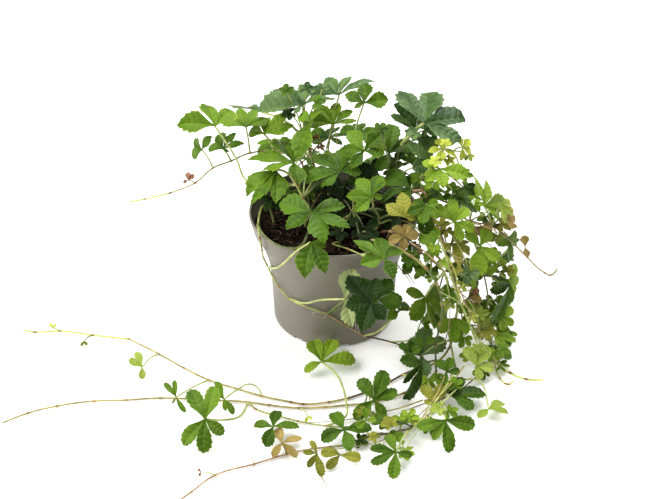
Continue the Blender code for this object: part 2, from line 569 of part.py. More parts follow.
def place_leaf(record, start, obstacles, own):
    """The first clear placing of a leaf: its facing, sheet, petiole and guard shapes, or None."""
    facing = leaf_facing(record.hub, record.tips)
    for shift_mm in SHIFTS_MM:
        shift = shift_mm * MM
        hub = slid_along_sight(record.hub, shift)
        arms = leaflet_arms(hub, facing, record.tips, record.droop)
        sheet = blade_sheet(hub, facing, arms, record)
        if min(point.z for point in sheet[0]) < FLOOR_LIFT + BLADE_THICKNESS:
            continue
        guard = shape_of(*thickened(sheet, facing, BLADE_THICKNESS + 2 * GUARD_MARGIN))
        if meets(guard, obstacles) or meets(guard, own):
            continue
        steps = len(record.via) + 1
        via = [slid_along_sight(place, shift * number / steps) for number, place in enumerate(record.via)]
        for bow in PETIOLE_BOWS if not via else PETIOLE_BOWS[:1]:
            petiole = petiole_route(start, hub, via, bow)
            side = 1 if (petiole[-2] - hub).dot(facing) > 0 else -1
            petiole[-1] = hub + facing * (side * PETIOLE_SEAT)
            sleeve = tube_guard(petiole, PETIOLE_RADIUS + GUARD_MARGIN)
            lowest = min(place.z for place in petiole)
            if lowest > FLOOR_LIFT + PETIOLE_RADIUS and not meets(sleeve, obstacles):
                return facing, sheet, petiole, guard, sleeve
    return None


def stem_points(line):
    """A strand's points. A rooted one starts in the soil, straight below its first point."""
    if not line.rooted:
        return list(line.points)
    start = line.points[0]
    root = Vector((start.x, start.y, SOIL_TOP - ROOT_DEPTH))
    collar = Vector((start.x, start.y, SOIL_TOP + ROOT_COLLAR_HEIGHT))
    return [root, collar, *line.points[1:]]


def stem_radius(line, share):
    return (STEM_RADIUS + (TIP_RADIUS - STEM_RADIUS) * share) * line.girth


def lay_out():
    """Place every leaf clear of the pot, the soil and all that was placed before it."""
    stems = {}
    for name, lines in VINES.items():
        stems[name] = [tube_guard(stem_points(line), STEM_RADIUS * line.girth + GUARD_MARGIN)
                       for line in lines]
    placed = {name: [] for name in VINES}
    taken = {name: [] for name in VINES}
    solid = [turned_guard(pot_outline()), turned_guard([(0.0, SOIL_TOP), (POT_RIM_RADIUS, SOIL_TOP)])]
    for name, lines in VINES.items():
        for line in lines:
            for record in line.leaves:
                obstacles = solid + [shape for other in VINES if other != name
                                     for shape in stems[other] + taken[other]]
                found = place_leaf(record, stem_points(line)[node_index(line, record)], obstacles,
                                   stems[name] + taken[name])
                if found is None:
                    print("no clear place:", name, record.tips[0])
                    continue
                placed[name].append(found[:3])
                taken[name] += found[3:]
    return placed


def node_index(line, record):
    """Where a leaf's node stands among stem_points, which holds one more point on a rooted strand."""
    return record.node + len(stem_points(line)) - len(line.points)


def turned_guard(outline):
    """A turned surface for the clearance search, from a profile of (radius, height) pairs."""
    points, faces = [], []
    for radius, height in outline:
        for turn in range(GUARD_SIDES):
            angle = 2 * pi * turn / GUARD_SIDES
            points.append(Vector((radius * cos(angle), radius * sin(angle), height)))
    for row in range(len(outline) - 1):
        for turn in range(GUARD_SIDES):
            a = row * GUARD_SIDES + turn
            b = row * GUARD_SIDES + (turn + 1) % GUARD_SIDES
            faces += [(a, b, b + GUARD_SIDES), (a, b + GUARD_SIDES, a + GUARD_SIDES)]
    return shape_of(points, faces)


# Turned and cut solids: the pot and the soil

def pot_outline():
    """The pot's profile, down its outer side and across its foot to the middle of its base."""
    edge_middle = wall_radius(POT_EDGE_RADIUS) - POT_EDGE_RADIUS
    edge = [(edge_middle + POT_EDGE_RADIUS * cos(radians(a)), POT_EDGE_RADIUS * (1 - sin(radians(a))))
            for a in (0, 45, 90)]
    foot_inner = edge_middle - FOOT_RING_WIDTH
    return [
        (POT_RIM_RADIUS, POT_HEIGHT),
        (POT_RIM_RADIUS, POT_HEIGHT - 2.2 * MM),
        (POT_RIM_RADIUS - 0.8 * MM, POT_HEIGHT - 3 * MM),
        (POT_COLLAR_RADIUS, POT_COLLAR_Z + 1 * MM),
        (POT_COLLAR_RADIUS - POT_COLLAR_STEP, POT_COLLAR_Z),
        *[(wall_radius(z), z) for z in POT_FLARE_Z[::-1]],
        (POT_WAIST_RADIUS, POT_WAIST_Z),
        *edge,
        (foot_inner, 0.0),
        (foot_inner - 1 * MM, FOOT_RECESS),
        (BASE_PAD_RADIUS + 1 * MM, FOOT_RECESS),
        (BASE_PAD_RADIUS, 0.0),
        (0.0, 0.0),
    ]


def pot_inside():
    """The profile of the pot's inside, from the middle of its floor up to the rim."""
    return [
        (0.0, POT_FLOOR),
        (POT_FOOT_RADIUS - POT_WALL - 4 * MM, POT_FLOOR),
        (POT_FOOT_RADIUS - POT_WALL, POT_FLOOR + 5 * MM),
        (POT_WAIST_RADIUS - POT_WALL, POT_WAIST_Z),
        *[(wall_radius(z) - POT_WALL, z) for z in POT_FLARE_Z],
        (POT_COLLAR_RADIUS - POT_COLLAR_STEP - POT_WALL, POT_COLLAR_Z),
        (POT_RIM_RADIUS - POT_WALL, POT_HEIGHT),
    ]


def turned_solid(name, outline, sides=POT_SIDES):
    """A profile of (radius, height) pairs turned round the pot's axis. It runs down the outer side."""
    steps = [(number, number + 1) for number in range(len(outline) - 1)
             if outline[number][0] + outline[number + 1][0] > 0]
    mesh = bpy.data.meshes.new(name)
    mesh.from_pydata([(radius, 0.0, height) for radius, height in outline], steps, [])
    piece = bpy.data.objects.new(name, mesh)
    bpy.context.scene.collection.objects.link(piece)
    screw = piece.modifiers.new("turn", "SCREW")
    screw.steps = screw.render_steps = sides
    screw.use_merge_vertices = True
    screw.merge_threshold = 0.00005
    return piece


def cutter_collection(name):
    group = bpy.data.collections.new(name)
    bpy.context.scene.collection.children.link(group)
    return group


def drain_cutters(group):
    """Blocks that cut the drain slots into the pot's foot ring."""
    for number in range(DRAIN_SLOTS):
        angle = FIRST_SLOT_ANGLE + 2 * pi * number / DRAIN_SLOTS
        bpy.ops.mesh.primitive_cube_add(size=1, rotation=(0, 0, angle))
        block = bpy.context.object
        block.name = f"drain_cutter_{number + 1}"
        reach = POT_FOOT_RADIUS - 3 * MM
        block.location = (reach * cos(angle), reach * sin(angle), 0.0)
        block.scale = (DRAIN_SLOT_LENGTH, DRAIN_SLOT_WIDTH, 2 * DRAIN_SLOT_HEIGHT)
        hide_cutter(block, group)


def hide_cutter(block, group):
    block.hide_render = True
    block.display_type = "WIRE"
    for home in list(block.users_collection):
        home.objects.unlink(block)
    group.objects.link(block)


def cut_by(piece, group):
    cut = piece.modifiers.new("cut", "BOOLEAN")
    cut.operation = "DIFFERENCE"
    cut.operand_type = "COLLECTION"
    cut.collection = group
    cut.solver = "EXACT"


def make_pot(material):
    outline = pot_outline()
    pot = turned_solid("pot", outline + pot_inside() + outline[:1])
    group = cutter_collection("drain cutters")
    drain_cutters(group)
    cut_by(pot, group)
    pot.data.materials.append(material)
    return pot


def soil_relief(x, y):
    """Low lumps on the soil, from a few waves that cross. The waves' rates are in radians a metre."""
    waves = [share * sin(x * along_x + y * along_y + start) for along_x, along_y, start, share in SOIL_WAVES]
    return SOIL_RELIEF * sum(waves)


def make_soil(material):
    """The soil fills the pot up to its lumpy top, with a plain hole for each root."""
    wall = [(radius - SOIL_GAP, height) for radius, height in pot_inside()[2:-1]]
    rings = [(SOIL_RADIUS * (1 - ring / SOIL_RINGS), SOIL_TOP) for ring in range(SOIL_RINGS + 1)]
    base_radius, base_z = pot_inside()[1]
    base = [(base_radius - SOIL_GAP, base_z + SOIL_GAP), (0.0, base_z + SOIL_GAP)]
    soil = turned_solid("soil", rings[::-1] + wall[::-1] + base, SOIL_SIDES)
    mesh = evaluated_mesh(soil)
    for vertex in mesh.vertices:
        if vertex.co.z > SOIL_TOP - 1e-5:
            vertex.co.z += soil_relief(vertex.co.x, vertex.co.y)
    soil.modifiers.clear()
    soil.data = mesh
    group = cutter_collection("root holes")
    for name, lines in VINES.items():
        root = lines[0].points[0]
        radius = STEM_RADIUS * lines[0].girth + ROOT_CLEARANCE
        bpy.ops.mesh.primitive_cylinder_add(vertices=ROOT_HOLE_SIDES, radius=radius, depth=ROOT_DEPTH * 2,
                                            location=(root.x, root.y, SOIL_TOP - ROOT_CLEARANCE))
        bpy.context.object.name = "root_hole_" + name
        hide_cutter(bpy.context.object, group)
    cut_by(soil, group)
    soil.data.materials.append(material)
    return soil


def evaluated_mesh(piece):
    """The piece's mesh as its modifiers leave it."""
    graph = bpy.context.evaluated_depsgraph_get()
    return bpy.data.meshes.new_from_object(piece.evaluated_get(graph))


def weld(mesh):
    work = bmesh.new()
    work.from_mesh(mesh)
    bmesh.ops.remove_doubles(work, verts=work.verts, dist=1e-6)
    work.to_mesh(mesh)
    work.free()


def body_of(start):
    """All the vertices that edges join to start."""
    body, edge = {start}, [start]
    while edge:
        vertex = edge.pop()
        near = {link.other_vert(vertex) for link in vertex.link_edges} - body
        body |= near
        edge.extend(near)
    return body


def drop_scraps(mesh):
    """Drop the loose scraps that a union can leave where two surfaces only just cross."""
    work = bmesh.new()
    work.from_mesh(mesh)
    bodies, left = [], set(work.verts)
    while left:
        bodies.append(body_of(next(iter(left))))
        left -= bodies[-1]
    scraps = sorted(bodies, key=len)[:-1]
    bmesh.ops.delete(work, geom=[vertex for body in scraps for vertex in body], context="VERTS")
    work.to_mesh(mesh)
    work.free()


# Stems, petioles and blades, joined into one solid for each vine

def tube_curve(name, points, radii):
    curve = bpy.data.curves.new(name, "CURVE")
    curve.dimensions = "3D"
    curve.bevel_depth = 1.0
    curve.bevel_resolution = 0
    curve.use_fill_caps = True
    line = curve.splines.new("POLY")
    line.points.add(len(points) - 1)
    for point, place, radius in zip(line.points, points, radii):
        point.co = (*place, 1.0)
        point.radius = radius
    piece = bpy.data.objects.new(name, curve)
    bpy.context.scene.collection.objects.link(piece)
    return piece


def as_mesh_piece(curve_piece):
    """A tube as a closed mesh object, in place of its curve."""
    mesh = evaluated_mesh(curve_piece)
    weld(mesh)
    name = curve_piece.name
    curve = curve_piece.data
    bpy.data.objects.remove(curve_piece)
    bpy.data.curves.remove(curve)
    piece = bpy.data.objects.new(name, mesh)
    bpy.context.scene.collection.objects.link(piece)
    return piece


def blade_piece(name, sheet, facing):
    """A leaf as a solid sheet whose two faces are split into the same triangles."""
    mesh = bpy.data.meshes.new(name)
    points, faces = thickened(sheet, facing, BLADE_THICKNESS)
    mesh.from_pydata(points, [], faces)
    piece = bpy.data.objects.new(name, mesh)
    bpy.context.scene.collection.objects.link(piece)
    return piece


def vine_pieces(name, placed):
    """All the loose solids of one vine: its stems first, then its petioles and blades."""
    curves = []
    for line in VINES[name]:
        points = stem_points(line)
        radii = [stem_radius(line, number / (len(points) - 1)) for number in range(len(points))]
        curves.append(tube_curve(f"{name}_stem", points, radii))
    for _, _, petiole in placed:
        curves.append(tube_curve(f"{name}_petiole", petiole, [PETIOLE_RADIUS] * len(petiole)))
    bpy.context.view_layer.update()
    pieces = [as_mesh_piece(curve) for curve in curves]
    pieces += [blade_piece(f"{name}_blade", sheet, facing) for facing, sheet, _ in placed]
    return pieces


def joined_vine(name, placed, material):
    """One closed solid: a union of the vine's first stem with all its other pieces."""
    pieces = vine_pieces(name, placed)
    group = bpy.data.collections.new("joining " + name)
    bpy.context.scene.collection.children.link(group)
    for piece in pieces[1:]:
        bpy.context.scene.collection.objects.unlink(piece)
        group.objects.link(piece)
    vine = pieces[0]
    union = vine.modifiers.new("join", "BOOLEAN")
    union.operation = "UNION"
    union.operand_type = "COLLECTION"
    union.collection = group
    union.solver = "MANIFOLD"
    mesh = evaluated_mesh(vine)
    drop_scraps(mesh)
    vine.modifiers.clear()
    vine.data = mesh
    for piece in pieces[1:]:
        bpy.data.objects.remove(piece)
    bpy.data.collections.remove(group)
    vine.name = name
    vine.data.name = name
    vine.data.materials.clear()
    vine.data.materials.append(material)
    return vine


def plain_material(name):
    material = bpy.data.materials.new(name)
    material.use_nodes = True
    shader = material.node_tree.nodes["Principled BSDF"]
    shader.inputs["Base Color"].default_value = (*COLOURS[name], 1.0)
    shader.inputs["Roughness"].default_value = ROUGHNESS[name]
    shader.inputs["Metallic"].default_value = 0.0
    return material


def clear_scene():
    for piece in list(bpy.data.objects):
        bpy.data.objects.remove(piece)


def main():
    clear_scene()
    home = bpy.data.collections.new("potted miniature grape ivy")
    bpy.context.scene.collection.children.link(home)
    built = [make_pot(plain_material("pot_plastic")), make_soil(plain_material("peat_soil"))]
    grown = plain_material("foliage")
    young = plain_material("young_foliage")
    placed = lay_out()
    for name in VINES:
        built.append(joined_vine(name, placed[name], young if name in YOUNG_VINES else grown))
    for piece in built:
        for group in list(piece.users_collection):
            group.objects.unlink(piece)
        home.objects.link(piece)


main()
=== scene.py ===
from collections import namedtuple
from math import atan2, cos, pi, radians, sin, tan
from random import Random

import bmesh
import bpy
import numpy as np
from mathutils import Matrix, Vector
from mathutils.bvhtree import BVHTree


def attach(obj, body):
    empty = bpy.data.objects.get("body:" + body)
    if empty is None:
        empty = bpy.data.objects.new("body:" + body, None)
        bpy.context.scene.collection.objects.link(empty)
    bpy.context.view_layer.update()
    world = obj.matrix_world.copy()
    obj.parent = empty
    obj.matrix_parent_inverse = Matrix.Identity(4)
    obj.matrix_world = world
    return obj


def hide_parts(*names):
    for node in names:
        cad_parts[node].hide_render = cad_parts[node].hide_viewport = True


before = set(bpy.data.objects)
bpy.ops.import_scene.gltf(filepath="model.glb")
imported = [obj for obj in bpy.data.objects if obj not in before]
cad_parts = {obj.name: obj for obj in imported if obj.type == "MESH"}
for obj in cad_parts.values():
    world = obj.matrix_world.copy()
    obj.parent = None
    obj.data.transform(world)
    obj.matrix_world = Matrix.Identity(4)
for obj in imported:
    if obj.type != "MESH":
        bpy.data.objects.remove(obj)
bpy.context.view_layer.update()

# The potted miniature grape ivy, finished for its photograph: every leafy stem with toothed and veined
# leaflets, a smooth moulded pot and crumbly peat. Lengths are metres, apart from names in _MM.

MM = 0.001

# Sizes that the solids have too
POT_RIM_RADIUS = 60 * MM
POT_HEIGHT = 90 * MM
POT_COLLAR_Z = 76 * MM
POT_COLLAR_RADIUS = 57.6 * MM
POT_COLLAR_STEP = 1.6 * MM
POT_WAIST_RADIUS = 46 * MM
POT_WAIST_Z = 35 * MM
POT_FLARE_Z = (48 * MM, 62 * MM)
POT_FOOT_RADIUS = 45 * MM
POT_EDGE_RADIUS = 2 * MM
POT_WALL = 1.5 * MM
POT_FLOOR = 3 * MM
FOOT_RING_WIDTH = 4 * MM
FOOT_RECESS = 1.6 * MM
BASE_PAD_RADIUS = 12 * MM
DRAIN_SLOTS = 8
DRAIN_SLOT_WIDTH = 7 * MM
DRAIN_SLOT_HEIGHT = 2.4 * MM
DRAIN_SLOT_LENGTH = 16 * MM
FIRST_SLOT_ANGLE = radians(-80)
SOIL_TOP = 81 * MM
SOIL_RADIUS = 54.8 * MM
SOIL_RELIEF = 1.0 * MM
SOIL_WAVES = ((210, 185, 1.3, 1.0), (420, -330, 0.7, 0.6), (-150, 260, 2.1, 0.5))
ROOT_DEPTH = 20 * MM
ROOT_COLLAR_HEIGHT = 3 * MM
STEM_RADIUS = 1.05 * MM
TIP_RADIUS = 0.72 * MM
PETIOLE_RADIUS = 0.5 * MM
PETIOLE_SEAT = 0.15 * MM
BLADE_THICKNESS = 0.65 * MM
BLADE_DROOP = 0.13
BLADE_FOLD = 0.18
LEAFLET_HALF_WIDTH = 0.33
LEAFLET_SIDE = ((0.46, 0.80), (0.76, 1.0))
SMALL_LEAFLET_SIDE = ((0.62, 0.95),)
SMALL_LEAFLET = 14.5 * MM
NOTCH_SHARE = 0.12
SMALLEST_NOTCH = 0.9 * MM
LONGEST_LEAFLET = 34 * MM
GUARD_MARGIN = 0.45 * MM
FLOOR_LIFT = 0.4 * MM
LEAST_SLOPE = 0.12
WIDEST_ROOM = radians(70)
ROOM_SHARE = 0.9
TIGHTEST_LEVEL = 0.9
GUARD_SIDES = 24
SLEEVE_SIDES = 3

# Finish sizes
POT_SIDES = 96
LIP_RADIUS = 0.9 * MM
LEAFLET_COLUMNS = 4
LEAF_SKIN = 0.32 * MM
RIB_RADIUS = 0.23 * MM
STEM_SLIMNESS = 0.92
NODE_SWELLING = 1.4
NODE_LENGTH = 1.9 * MM
SMOOTH_ANGLE = radians(40)

# A leaflet's rows from base to tip: how far along the midrib, how far along at the edge, and how wide
ROUND_ROWS = (
    (0.00, 0.00, 0.07), (0.12, 0.12, 0.20), (0.25, 0.25, 0.43), (0.36, 0.37, 0.68), (0.46, 0.50, 0.91),
    (0.54, 0.54, 0.84), (0.62, 0.67, 1.00), (0.69, 0.70, 0.87), (0.77, 0.83, 0.91), (0.84, 0.85, 0.70),
    (0.91, 0.95, 0.60), (0.96, 0.96, 0.34), (1.00, 1.00, 0.10),
)
POINTED_ROWS = (
    (0.00, 0.00, 0.06), (0.12, 0.12, 0.18), (0.25, 0.25, 0.42), (0.37, 0.38, 0.70), (0.47, 0.50, 0.95),
    (0.55, 0.55, 0.92), (0.63, 0.68, 1.00), (0.70, 0.70, 0.80), (0.77, 0.83, 0.72), (0.84, 0.84, 0.50),
    (0.90, 0.93, 0.36), (0.95, 0.95, 0.18), (1.00, 1.00, 0.03),
)

# How near a point of the pattern is to count as in a row, and how far out it is to count as on the edge
ROW_REACH = 0.02
EDGE_SHARE = 0.9
LEAFLET_OVERLAP = 0.598
GREY_BREADTH = 1.2
VEIN_SLANT = 0.75
PATTERN_AWAY = 20.0
PILLOW_RISE = 0.60
PILLOW_FALL = 0.38
RIPPLE_HEIGHT = 0.022
RIPPLE_WAVES = 11
RIPPLE_SLANT = 1.3
TIP_CURL = 0.5
CURL_START = 0.7
RIB_STATIONS = (0.0, 0.25, 0.55, 0.88)
RIB_TAPER = (1.0, 0.6, 0.42, 0.2)
RIB_SINK = 0.1 * MM
NODE_END = 0.8
PETIOLE_STOUTNESS = (0.8, 0.9)
PETIOLE_FOOT = 1.25
RIB_STOUTNESS = (0.4, 0.6)
TWIG_TAPER = 0.6
RIM_BAND = 2.2 * MM
RIM_BEVEL = 0.8 * MM
LIP_DEPTH = 2 * MM
COLLAR_RISE = 1 * MM
COLLAR_BLEND = 0.3 * MM
POT_BAND_Z = 85 * MM
PAD_BEVEL = 1 * MM
FLOOR_CORNER_WIDTH = 4 * MM
FLOOR_CORNER_HEIGHT = 5 * MM
DRAIN_SLOT_INSET = 3 * MM
AXIS_HOLE = 0.5 * MM
INNER_ROWS_STOP = 4 * MM
PEAT_GAP = 0.4 * MM
PEAT_FOOT_INSETS = (6 * MM, 2 * MM)
PEAT_SHOULDER = (1.5 * MM, 5 * MM)
PEAT_BRIM = 0.3 * MM
PEAT_TOP_REACH = 1e-5
FINE_WAVES = ((1300, 3, 700), (1150, 2, 900))
FINE_RELIEF = 0.6
PEAT_RINGS = 22
CRUMBS = 900
CRUMB_MARGIN = 5 * MM
CRUMB_SHARES = (0.35, 1.0)
CRUMB_SQUASH = (0.5, 1.0)
CRUMB_LIFT = 0.2
LARGEST_CRUMB = 2.4 * MM
FIBRES = 130
FIBRE_MARGIN = 8 * MM
FIBRE_EDGE = 6 * MM
FIBRE_TURN = 0.9
FIBRE_STEP = (1.5 * MM, 4.0 * MM)
FIBRE_RISE = (0.4 * MM, 1.6 * MM)
FIBRE_RADIUS = (0.12 * MM, 0.3 * MM)
WALL_ROWS = 16
FLOOR_SIZE = 8
# The floor's faint glow is painted light, which washes out the shadows cast on it
FLOOR_GLOW = 0.22
ROOM_LIGHT = 0.2
LIGHT_AIM = Vector((0, 0, 0.06))

# Each soft light's place, size and power
SOFT_LIGHTS = {
    "key_light": ((-1.1, -0.35, 1.05), 1.1, 26.0),
    "back_light": ((0.4, 0.6, 1.5), 1.5, 40.0),
}

# How one leaflet departs from the plain form, and the range of each departure
Habit = namedtuple("Habit", "sway roll twist ripple phase curl shade")
HABIT_RANGES = Habit(sway=(-0.1, 0.1), roll=(-0.2, 0.3), twist=(-0.4, 0.4), ripple=(0.4, 1.5),
                     phase=(0, 2 * pi), curl=(-0.4, 1.4), shade=(-0.26, 0.26))
LEAF_SHADES = (0.15, 0.7)
Grown = namedtuple("Grown", "leaf facing hub arms petiole")

# The reference picture's viewpoint, in its own 665 x 499 frame
FRAME_PX = (665, 499)
LENS_MM = 50
SENSOR_MM = 36
FOCAL_PX = FRAME_PX[0] * LENS_MM / SENSOR_MM
VIEW_PITCH = radians(34)
VIEW_DISTANCE = 0.672
VIEW_AIM = Vector((-0.001, 0.0, 0.055))
VIEW_FORWARD = Vector((0.0, cos(VIEW_PITCH), -sin(VIEW_PITCH)))
VIEW_UP = Vector((0.0, sin(VIEW_PITCH), cos(VIEW_PITCH)))
VIEW_PLACE = VIEW_AIM - VIEW_FORWARD * VIEW_DISTANCE
NEAREST_LOOK = 0.5
LOOK_STEP = 0.4 * MM
LOOK_STEPS = 500

UP = Vector((0.0, 0.0, 1.0))

Leaf = namedtuple("Leaf", "node hub tips tone via droop width")
Strand = namedtuple("Strand", "points girth leaves rooted")
Shape = namedtuple("Shape", "centre reach tree")

# The leaflets of a hidden leaf and of a filling leaf: each one's turn in degrees and its share of the length
HIDDEN_PALM = ((-118, 0.62), (-58, 0.86), (0, 1.0), (58, 0.86), (118, 0.62))
HIDDEN_DROP = -0.12
PALM = ((-114, 0.6), (-56, 0.88), (0, 1.0), (57, 0.9), (112, 0.65))
VIEW_SQUASH = 0.8

# How a leaf's facing is found: the lifts and turns tried, in degrees, and what leaving the usual pose costs
FACING_LIFTS = (25, 40, 55, 70, 85, 100)
FACING_TURNS = (-50, -25, 0, 25, 50)
USUAL_LIFT = 62
LIFT_COST = 0.004
TURN_COST = 0.003

# What the clearance search tries: shifts in depth, and bows of the petiole, each a rise and a lean
SHIFTS_MM = (0, 4, -4, 8, -8, 12, -12, 16, -16, 20, -20, 25, -25, 30, -30, 36, -36)
PETIOLE_BOWS = ((0.10, 0.0), (0.0, 0.0), (0.25, 0.0), (0.08, 0.16), (0.08, -0.16), (-0.08, 0.0), (0.4, 0.0))


# Colours, in the 0 to 255 values of a paint card

Tone = namedtuple("Tone", "deep fresh vein rim under rough sheen")

LEAF_TONES = {name: Tone(*row) for name, *row in (
    # The "shade" tone is painted shade: a darker green for leaves deep in the crown's shaded middle, where
    # the shade falls
    ("shade", (16, 32, 6), (34, 58, 14), (54, 80, 30), (50, 78, 26), (80, 100, 54), 0.40, 0.12),
    ("old", (38, 64, 8), (80, 114, 24), (104, 134, 50), (102, 132, 42), (112, 132, 76), 0.42, 0.13),
    ("grey", (46, 76, 32), (94, 122, 64), (116, 142, 88), (110, 136, 72), (120, 138, 92), 0.38, 0.24),
    ("mid", (52, 82, 12), (100, 133, 32), (128, 154, 48), (130, 156, 40), (120, 142, 72), 0.44, 0.12),
    ("young", (84, 118, 18), (133, 163, 46), (158, 180, 66), (160, 180, 54), (140, 160, 84), 0.46, 0.12),
    ("soft", (128, 150, 50), (166, 184, 82), (174, 186, 102), (176, 184, 90), (150, 164, 98), 0.50, 0.14),
    ("lime", (158, 172, 48), (194, 206, 80), (208, 214, 114), (210, 214, 98), (178, 188, 106), 0.50, 0.14),
    ("olive", (100, 106, 24), (148, 150, 54), (154, 154, 74), (158, 142, 72), (128, 132, 72), 0.48, 0.15),
    ("bronze", (122, 106, 50), (170, 148, 84), (182, 166, 108), (172, 136, 88), (140, 134, 84), 0.48, 0.15),
    ("pale", (126, 142, 80), (160, 174, 112), (178, 188, 134), (160, 174, 110), (100, 130, 52), 0.55, 0.12),
    ("dry", (104, 64, 42), (156, 112, 82), (180, 142, 108), (124, 70, 48), (150, 106, 80), 0.60, 0.12),
)}
TONE_ORDER = tuple(LEAF_TONES)
# Leaves in these tones get the "shaded_petiole" stalk colour, painted shade for stalks among the crown's
# darker leaves
SHADED_TONES = ("shade", "old", "olive", "bronze")
UNDER_SHEEN = 0.15

STEM_TONES = {
    "green_stem": ((132, 142, 66), (184, 190, 112)),
    "fresh_stem": ((176, 184, 60), (214, 216, 104)),
    "tan_stem": ((134, 124, 62), (188, 174, 106)),
    "pink_stem": ((140, 108, 76), (196, 164, 122)),
    "dark_stem": ((62, 44, 32), (108, 84, 58)),
    "petiole": ((150, 162, 82), (198, 206, 130)),
    # A darker stalk colour: painted shade for stalks inside the crown, and also the own colour of some
    # darker stems
    "shaded_petiole": ((74, 88, 40), (116, 128, 66)),
    "node_knot": ((122, 92, 50), (172, 146, 88)),
    "rootlet": ((176, 166, 140), (216, 210, 192)),
    "rib": ((118, 142, 62), (156, 174, 92)),
}
STEM_SLOTS = {name: number for number, name in enumerate(STEM_TONES)}
GREEN_ALONG = ((0, "green_stem"),)

# Each stem's finishes, with the node that each starts from. A stem that isn't named is green all along
STEM_STRETCHES = {
    "left_runner": ((0, "tan_stem"), (8, "fresh_stem")),
    # The crown's stem takes the darker "shaded_petiole" colour as painted shade
    "right_crown": ((0, "shaded_petiole"),),
    "right_runner": ((0, "pink_stem"), (7, "tan_stem")),
    "right_cascade": ((0, "pink_stem"), (5, "green_stem"), (9, "fresh_stem")),
    "dark_cascade": ((0, "tan_stem"), (10, "fresh_stem")),
    "inner_cascade": ((0, "dark_stem"), (4, "green_stem"), (9, "tan_stem"), (18, "pink_stem")),
    "loop_stem": ((0, "green_stem"), (10, "pink_stem"), (12, "dark_stem")),
    "far_runner": ((0, "tan_stem"), (9, "dark_stem"), (13, "tan_stem"), (22, "fresh_stem")),
    "near_runner": ((0, "tan_stem"), (4, "shaded_petiole"), (9, "tan_stem")),
}
ROUND_LEAVED = ("right_crown", "right_cascade", "dark_cascade", "inner_cascade", "far_runner", "near_runner",
                "shade_shoot", "back_left_shoot", "back_right_shoot")

POT_DARK = (117, 112, 99)
POT_PALE = (128, 123, 109)
PEAT_DARK = (13, 9, 5)
PEAT_PALE = (50, 34, 21)
FIBRE_DARK = (58, 32, 20)
FIBRE_PALE = (116, 78, 52)
FLOOR_PALE = (250, 249, 248)
FLOOR_DULL = (244, 243, 242)
WHITE = (1.0, 1.0, 1.0, 1.0)


# Places read from the reference picture

def sight_line(u, v):
    """The direction from the viewer through picture point (u, v)."""
    right = (u - FRAME_PX[0] / 2) / FOCAL_PX
    rise = (FRAME_PX[1] / 2 - v) / FOCAL_PX
    return VIEW_FORWARD + VIEW_UP * rise + Vector((right, 0.0, 0.0))


def air(u, v, y_mm):
    """The point seen at (u, v) that lies y_mm behind the pot's axis."""
    line = sight_line(u, v)
    return VIEW_PLACE + line * ((y_mm * MM - VIEW_PLACE.y) / line.y)


def airs(*places):
    return [air(*place) for place in places]


def low(u, v, z_mm=1.6):
    """The point seen at (u, v) that lies z_mm above the surface the pot stands on."""
    line = sight_line(u, v)
    return VIEW_PLACE + line * ((z_mm * MM - VIEW_PLACE.z) / line.z)


def lows(*places):
    return [low(*place) for place in places]


def wall_radius(z):
    """The pot's outer radius at height z: the nearly straight foot, the flare or the collar."""
    if z < POT_WAIST_Z:
        return POT_FOOT_RADIUS + (POT_WAIST_RADIUS - POT_FOOT_RADIUS) * max(0.0, z / POT_WAIST_Z)
    if z < POT_COLLAR_Z:
        share = (z - POT_WAIST_Z) / (POT_COLLAR_Z - POT_WAIST_Z)
        return POT_WAIST_RADIUS + (POT_COLLAR_RADIUS - POT_COLLAR_STEP - POT_WAIST_RADIUS) * share ** 2
    share = min(1.0, (z - POT_COLLAR_Z) / (POT_HEIGHT - POT_COLLAR_Z))
    return POT_COLLAR_RADIUS + (POT_RIM_RADIUS - POT_COLLAR_RADIUS) * share


FOOT_MIDDLE = wall_radius(POT_EDGE_RADIUS) - POT_EDGE_RADIUS


def on_pot(u, v, gap_mm=2.0):
    """The point seen at (u, v) that lies gap_mm in front of the pot's wall, or beside its outline."""
    line = sight_line(u, v)
    best, least = None, 1.0
    for step in range(LOOK_STEPS):
        place = VIEW_PLACE + line * (NEAREST_LOOK + step * LOOK_STEP)
        room = Vector((place.x, place.y)).length - wall_radius(place.z) - gap_mm * MM
        if room < least:
            best, least = place, room
        if room < 0:
            break
    return best


def on_pots(*places):
    return [on_pot(*place) for place in places]


def spot(x_mm, y_mm, z_mm):
    return Vector((x_mm, y_mm, z_mm)) * MM


def seen_at(place):
    """Where in the picture a point is seen."""
    way = place - VIEW_PLACE
    depth = way.dot(VIEW_FORWARD)
    return (FRAME_PX[0] / 2 + FOCAL_PX * way.x / depth,
            FRAME_PX[1] / 2 - FOCAL_PX * way.dot(VIEW_UP) / depth)


def leaf(node, hub, tips, tone="mid", via=(), droop=BLADE_DROOP, width=1.0):
    """A leaf that grows from point number node of its strand. Its leaflets end at picture points tips."""
    return Leaf(node, hub, tuple(tips), tone, tuple(via), droop, width)


def plain_leaf(node, hub, heading, reach_mm, tone="old"):
    """A leaf that the picture doesn't show: five level leaflets, the middle one towards heading."""
    tips = []
    for turn, share in HIDDEN_PALM:
        angle = radians(heading + turn)
        arm = Vector((cos(angle), sin(angle), HIDDEN_DROP)) * (reach_mm * MM * share)
        tips.append(seen_at(hub + arm))
    return leaf(node, hub, tips, tone)


def strand(points, leaves=(), girth=1.0, rooted=True):
    """A stem with its leaves. It rises from the soil at its first point, or branches off there."""
    return Strand(tuple(points), girth, tuple(leaves), rooted)


# The stems, in the order in which they are laid out, each with its strands and their leaves

VINES = {}

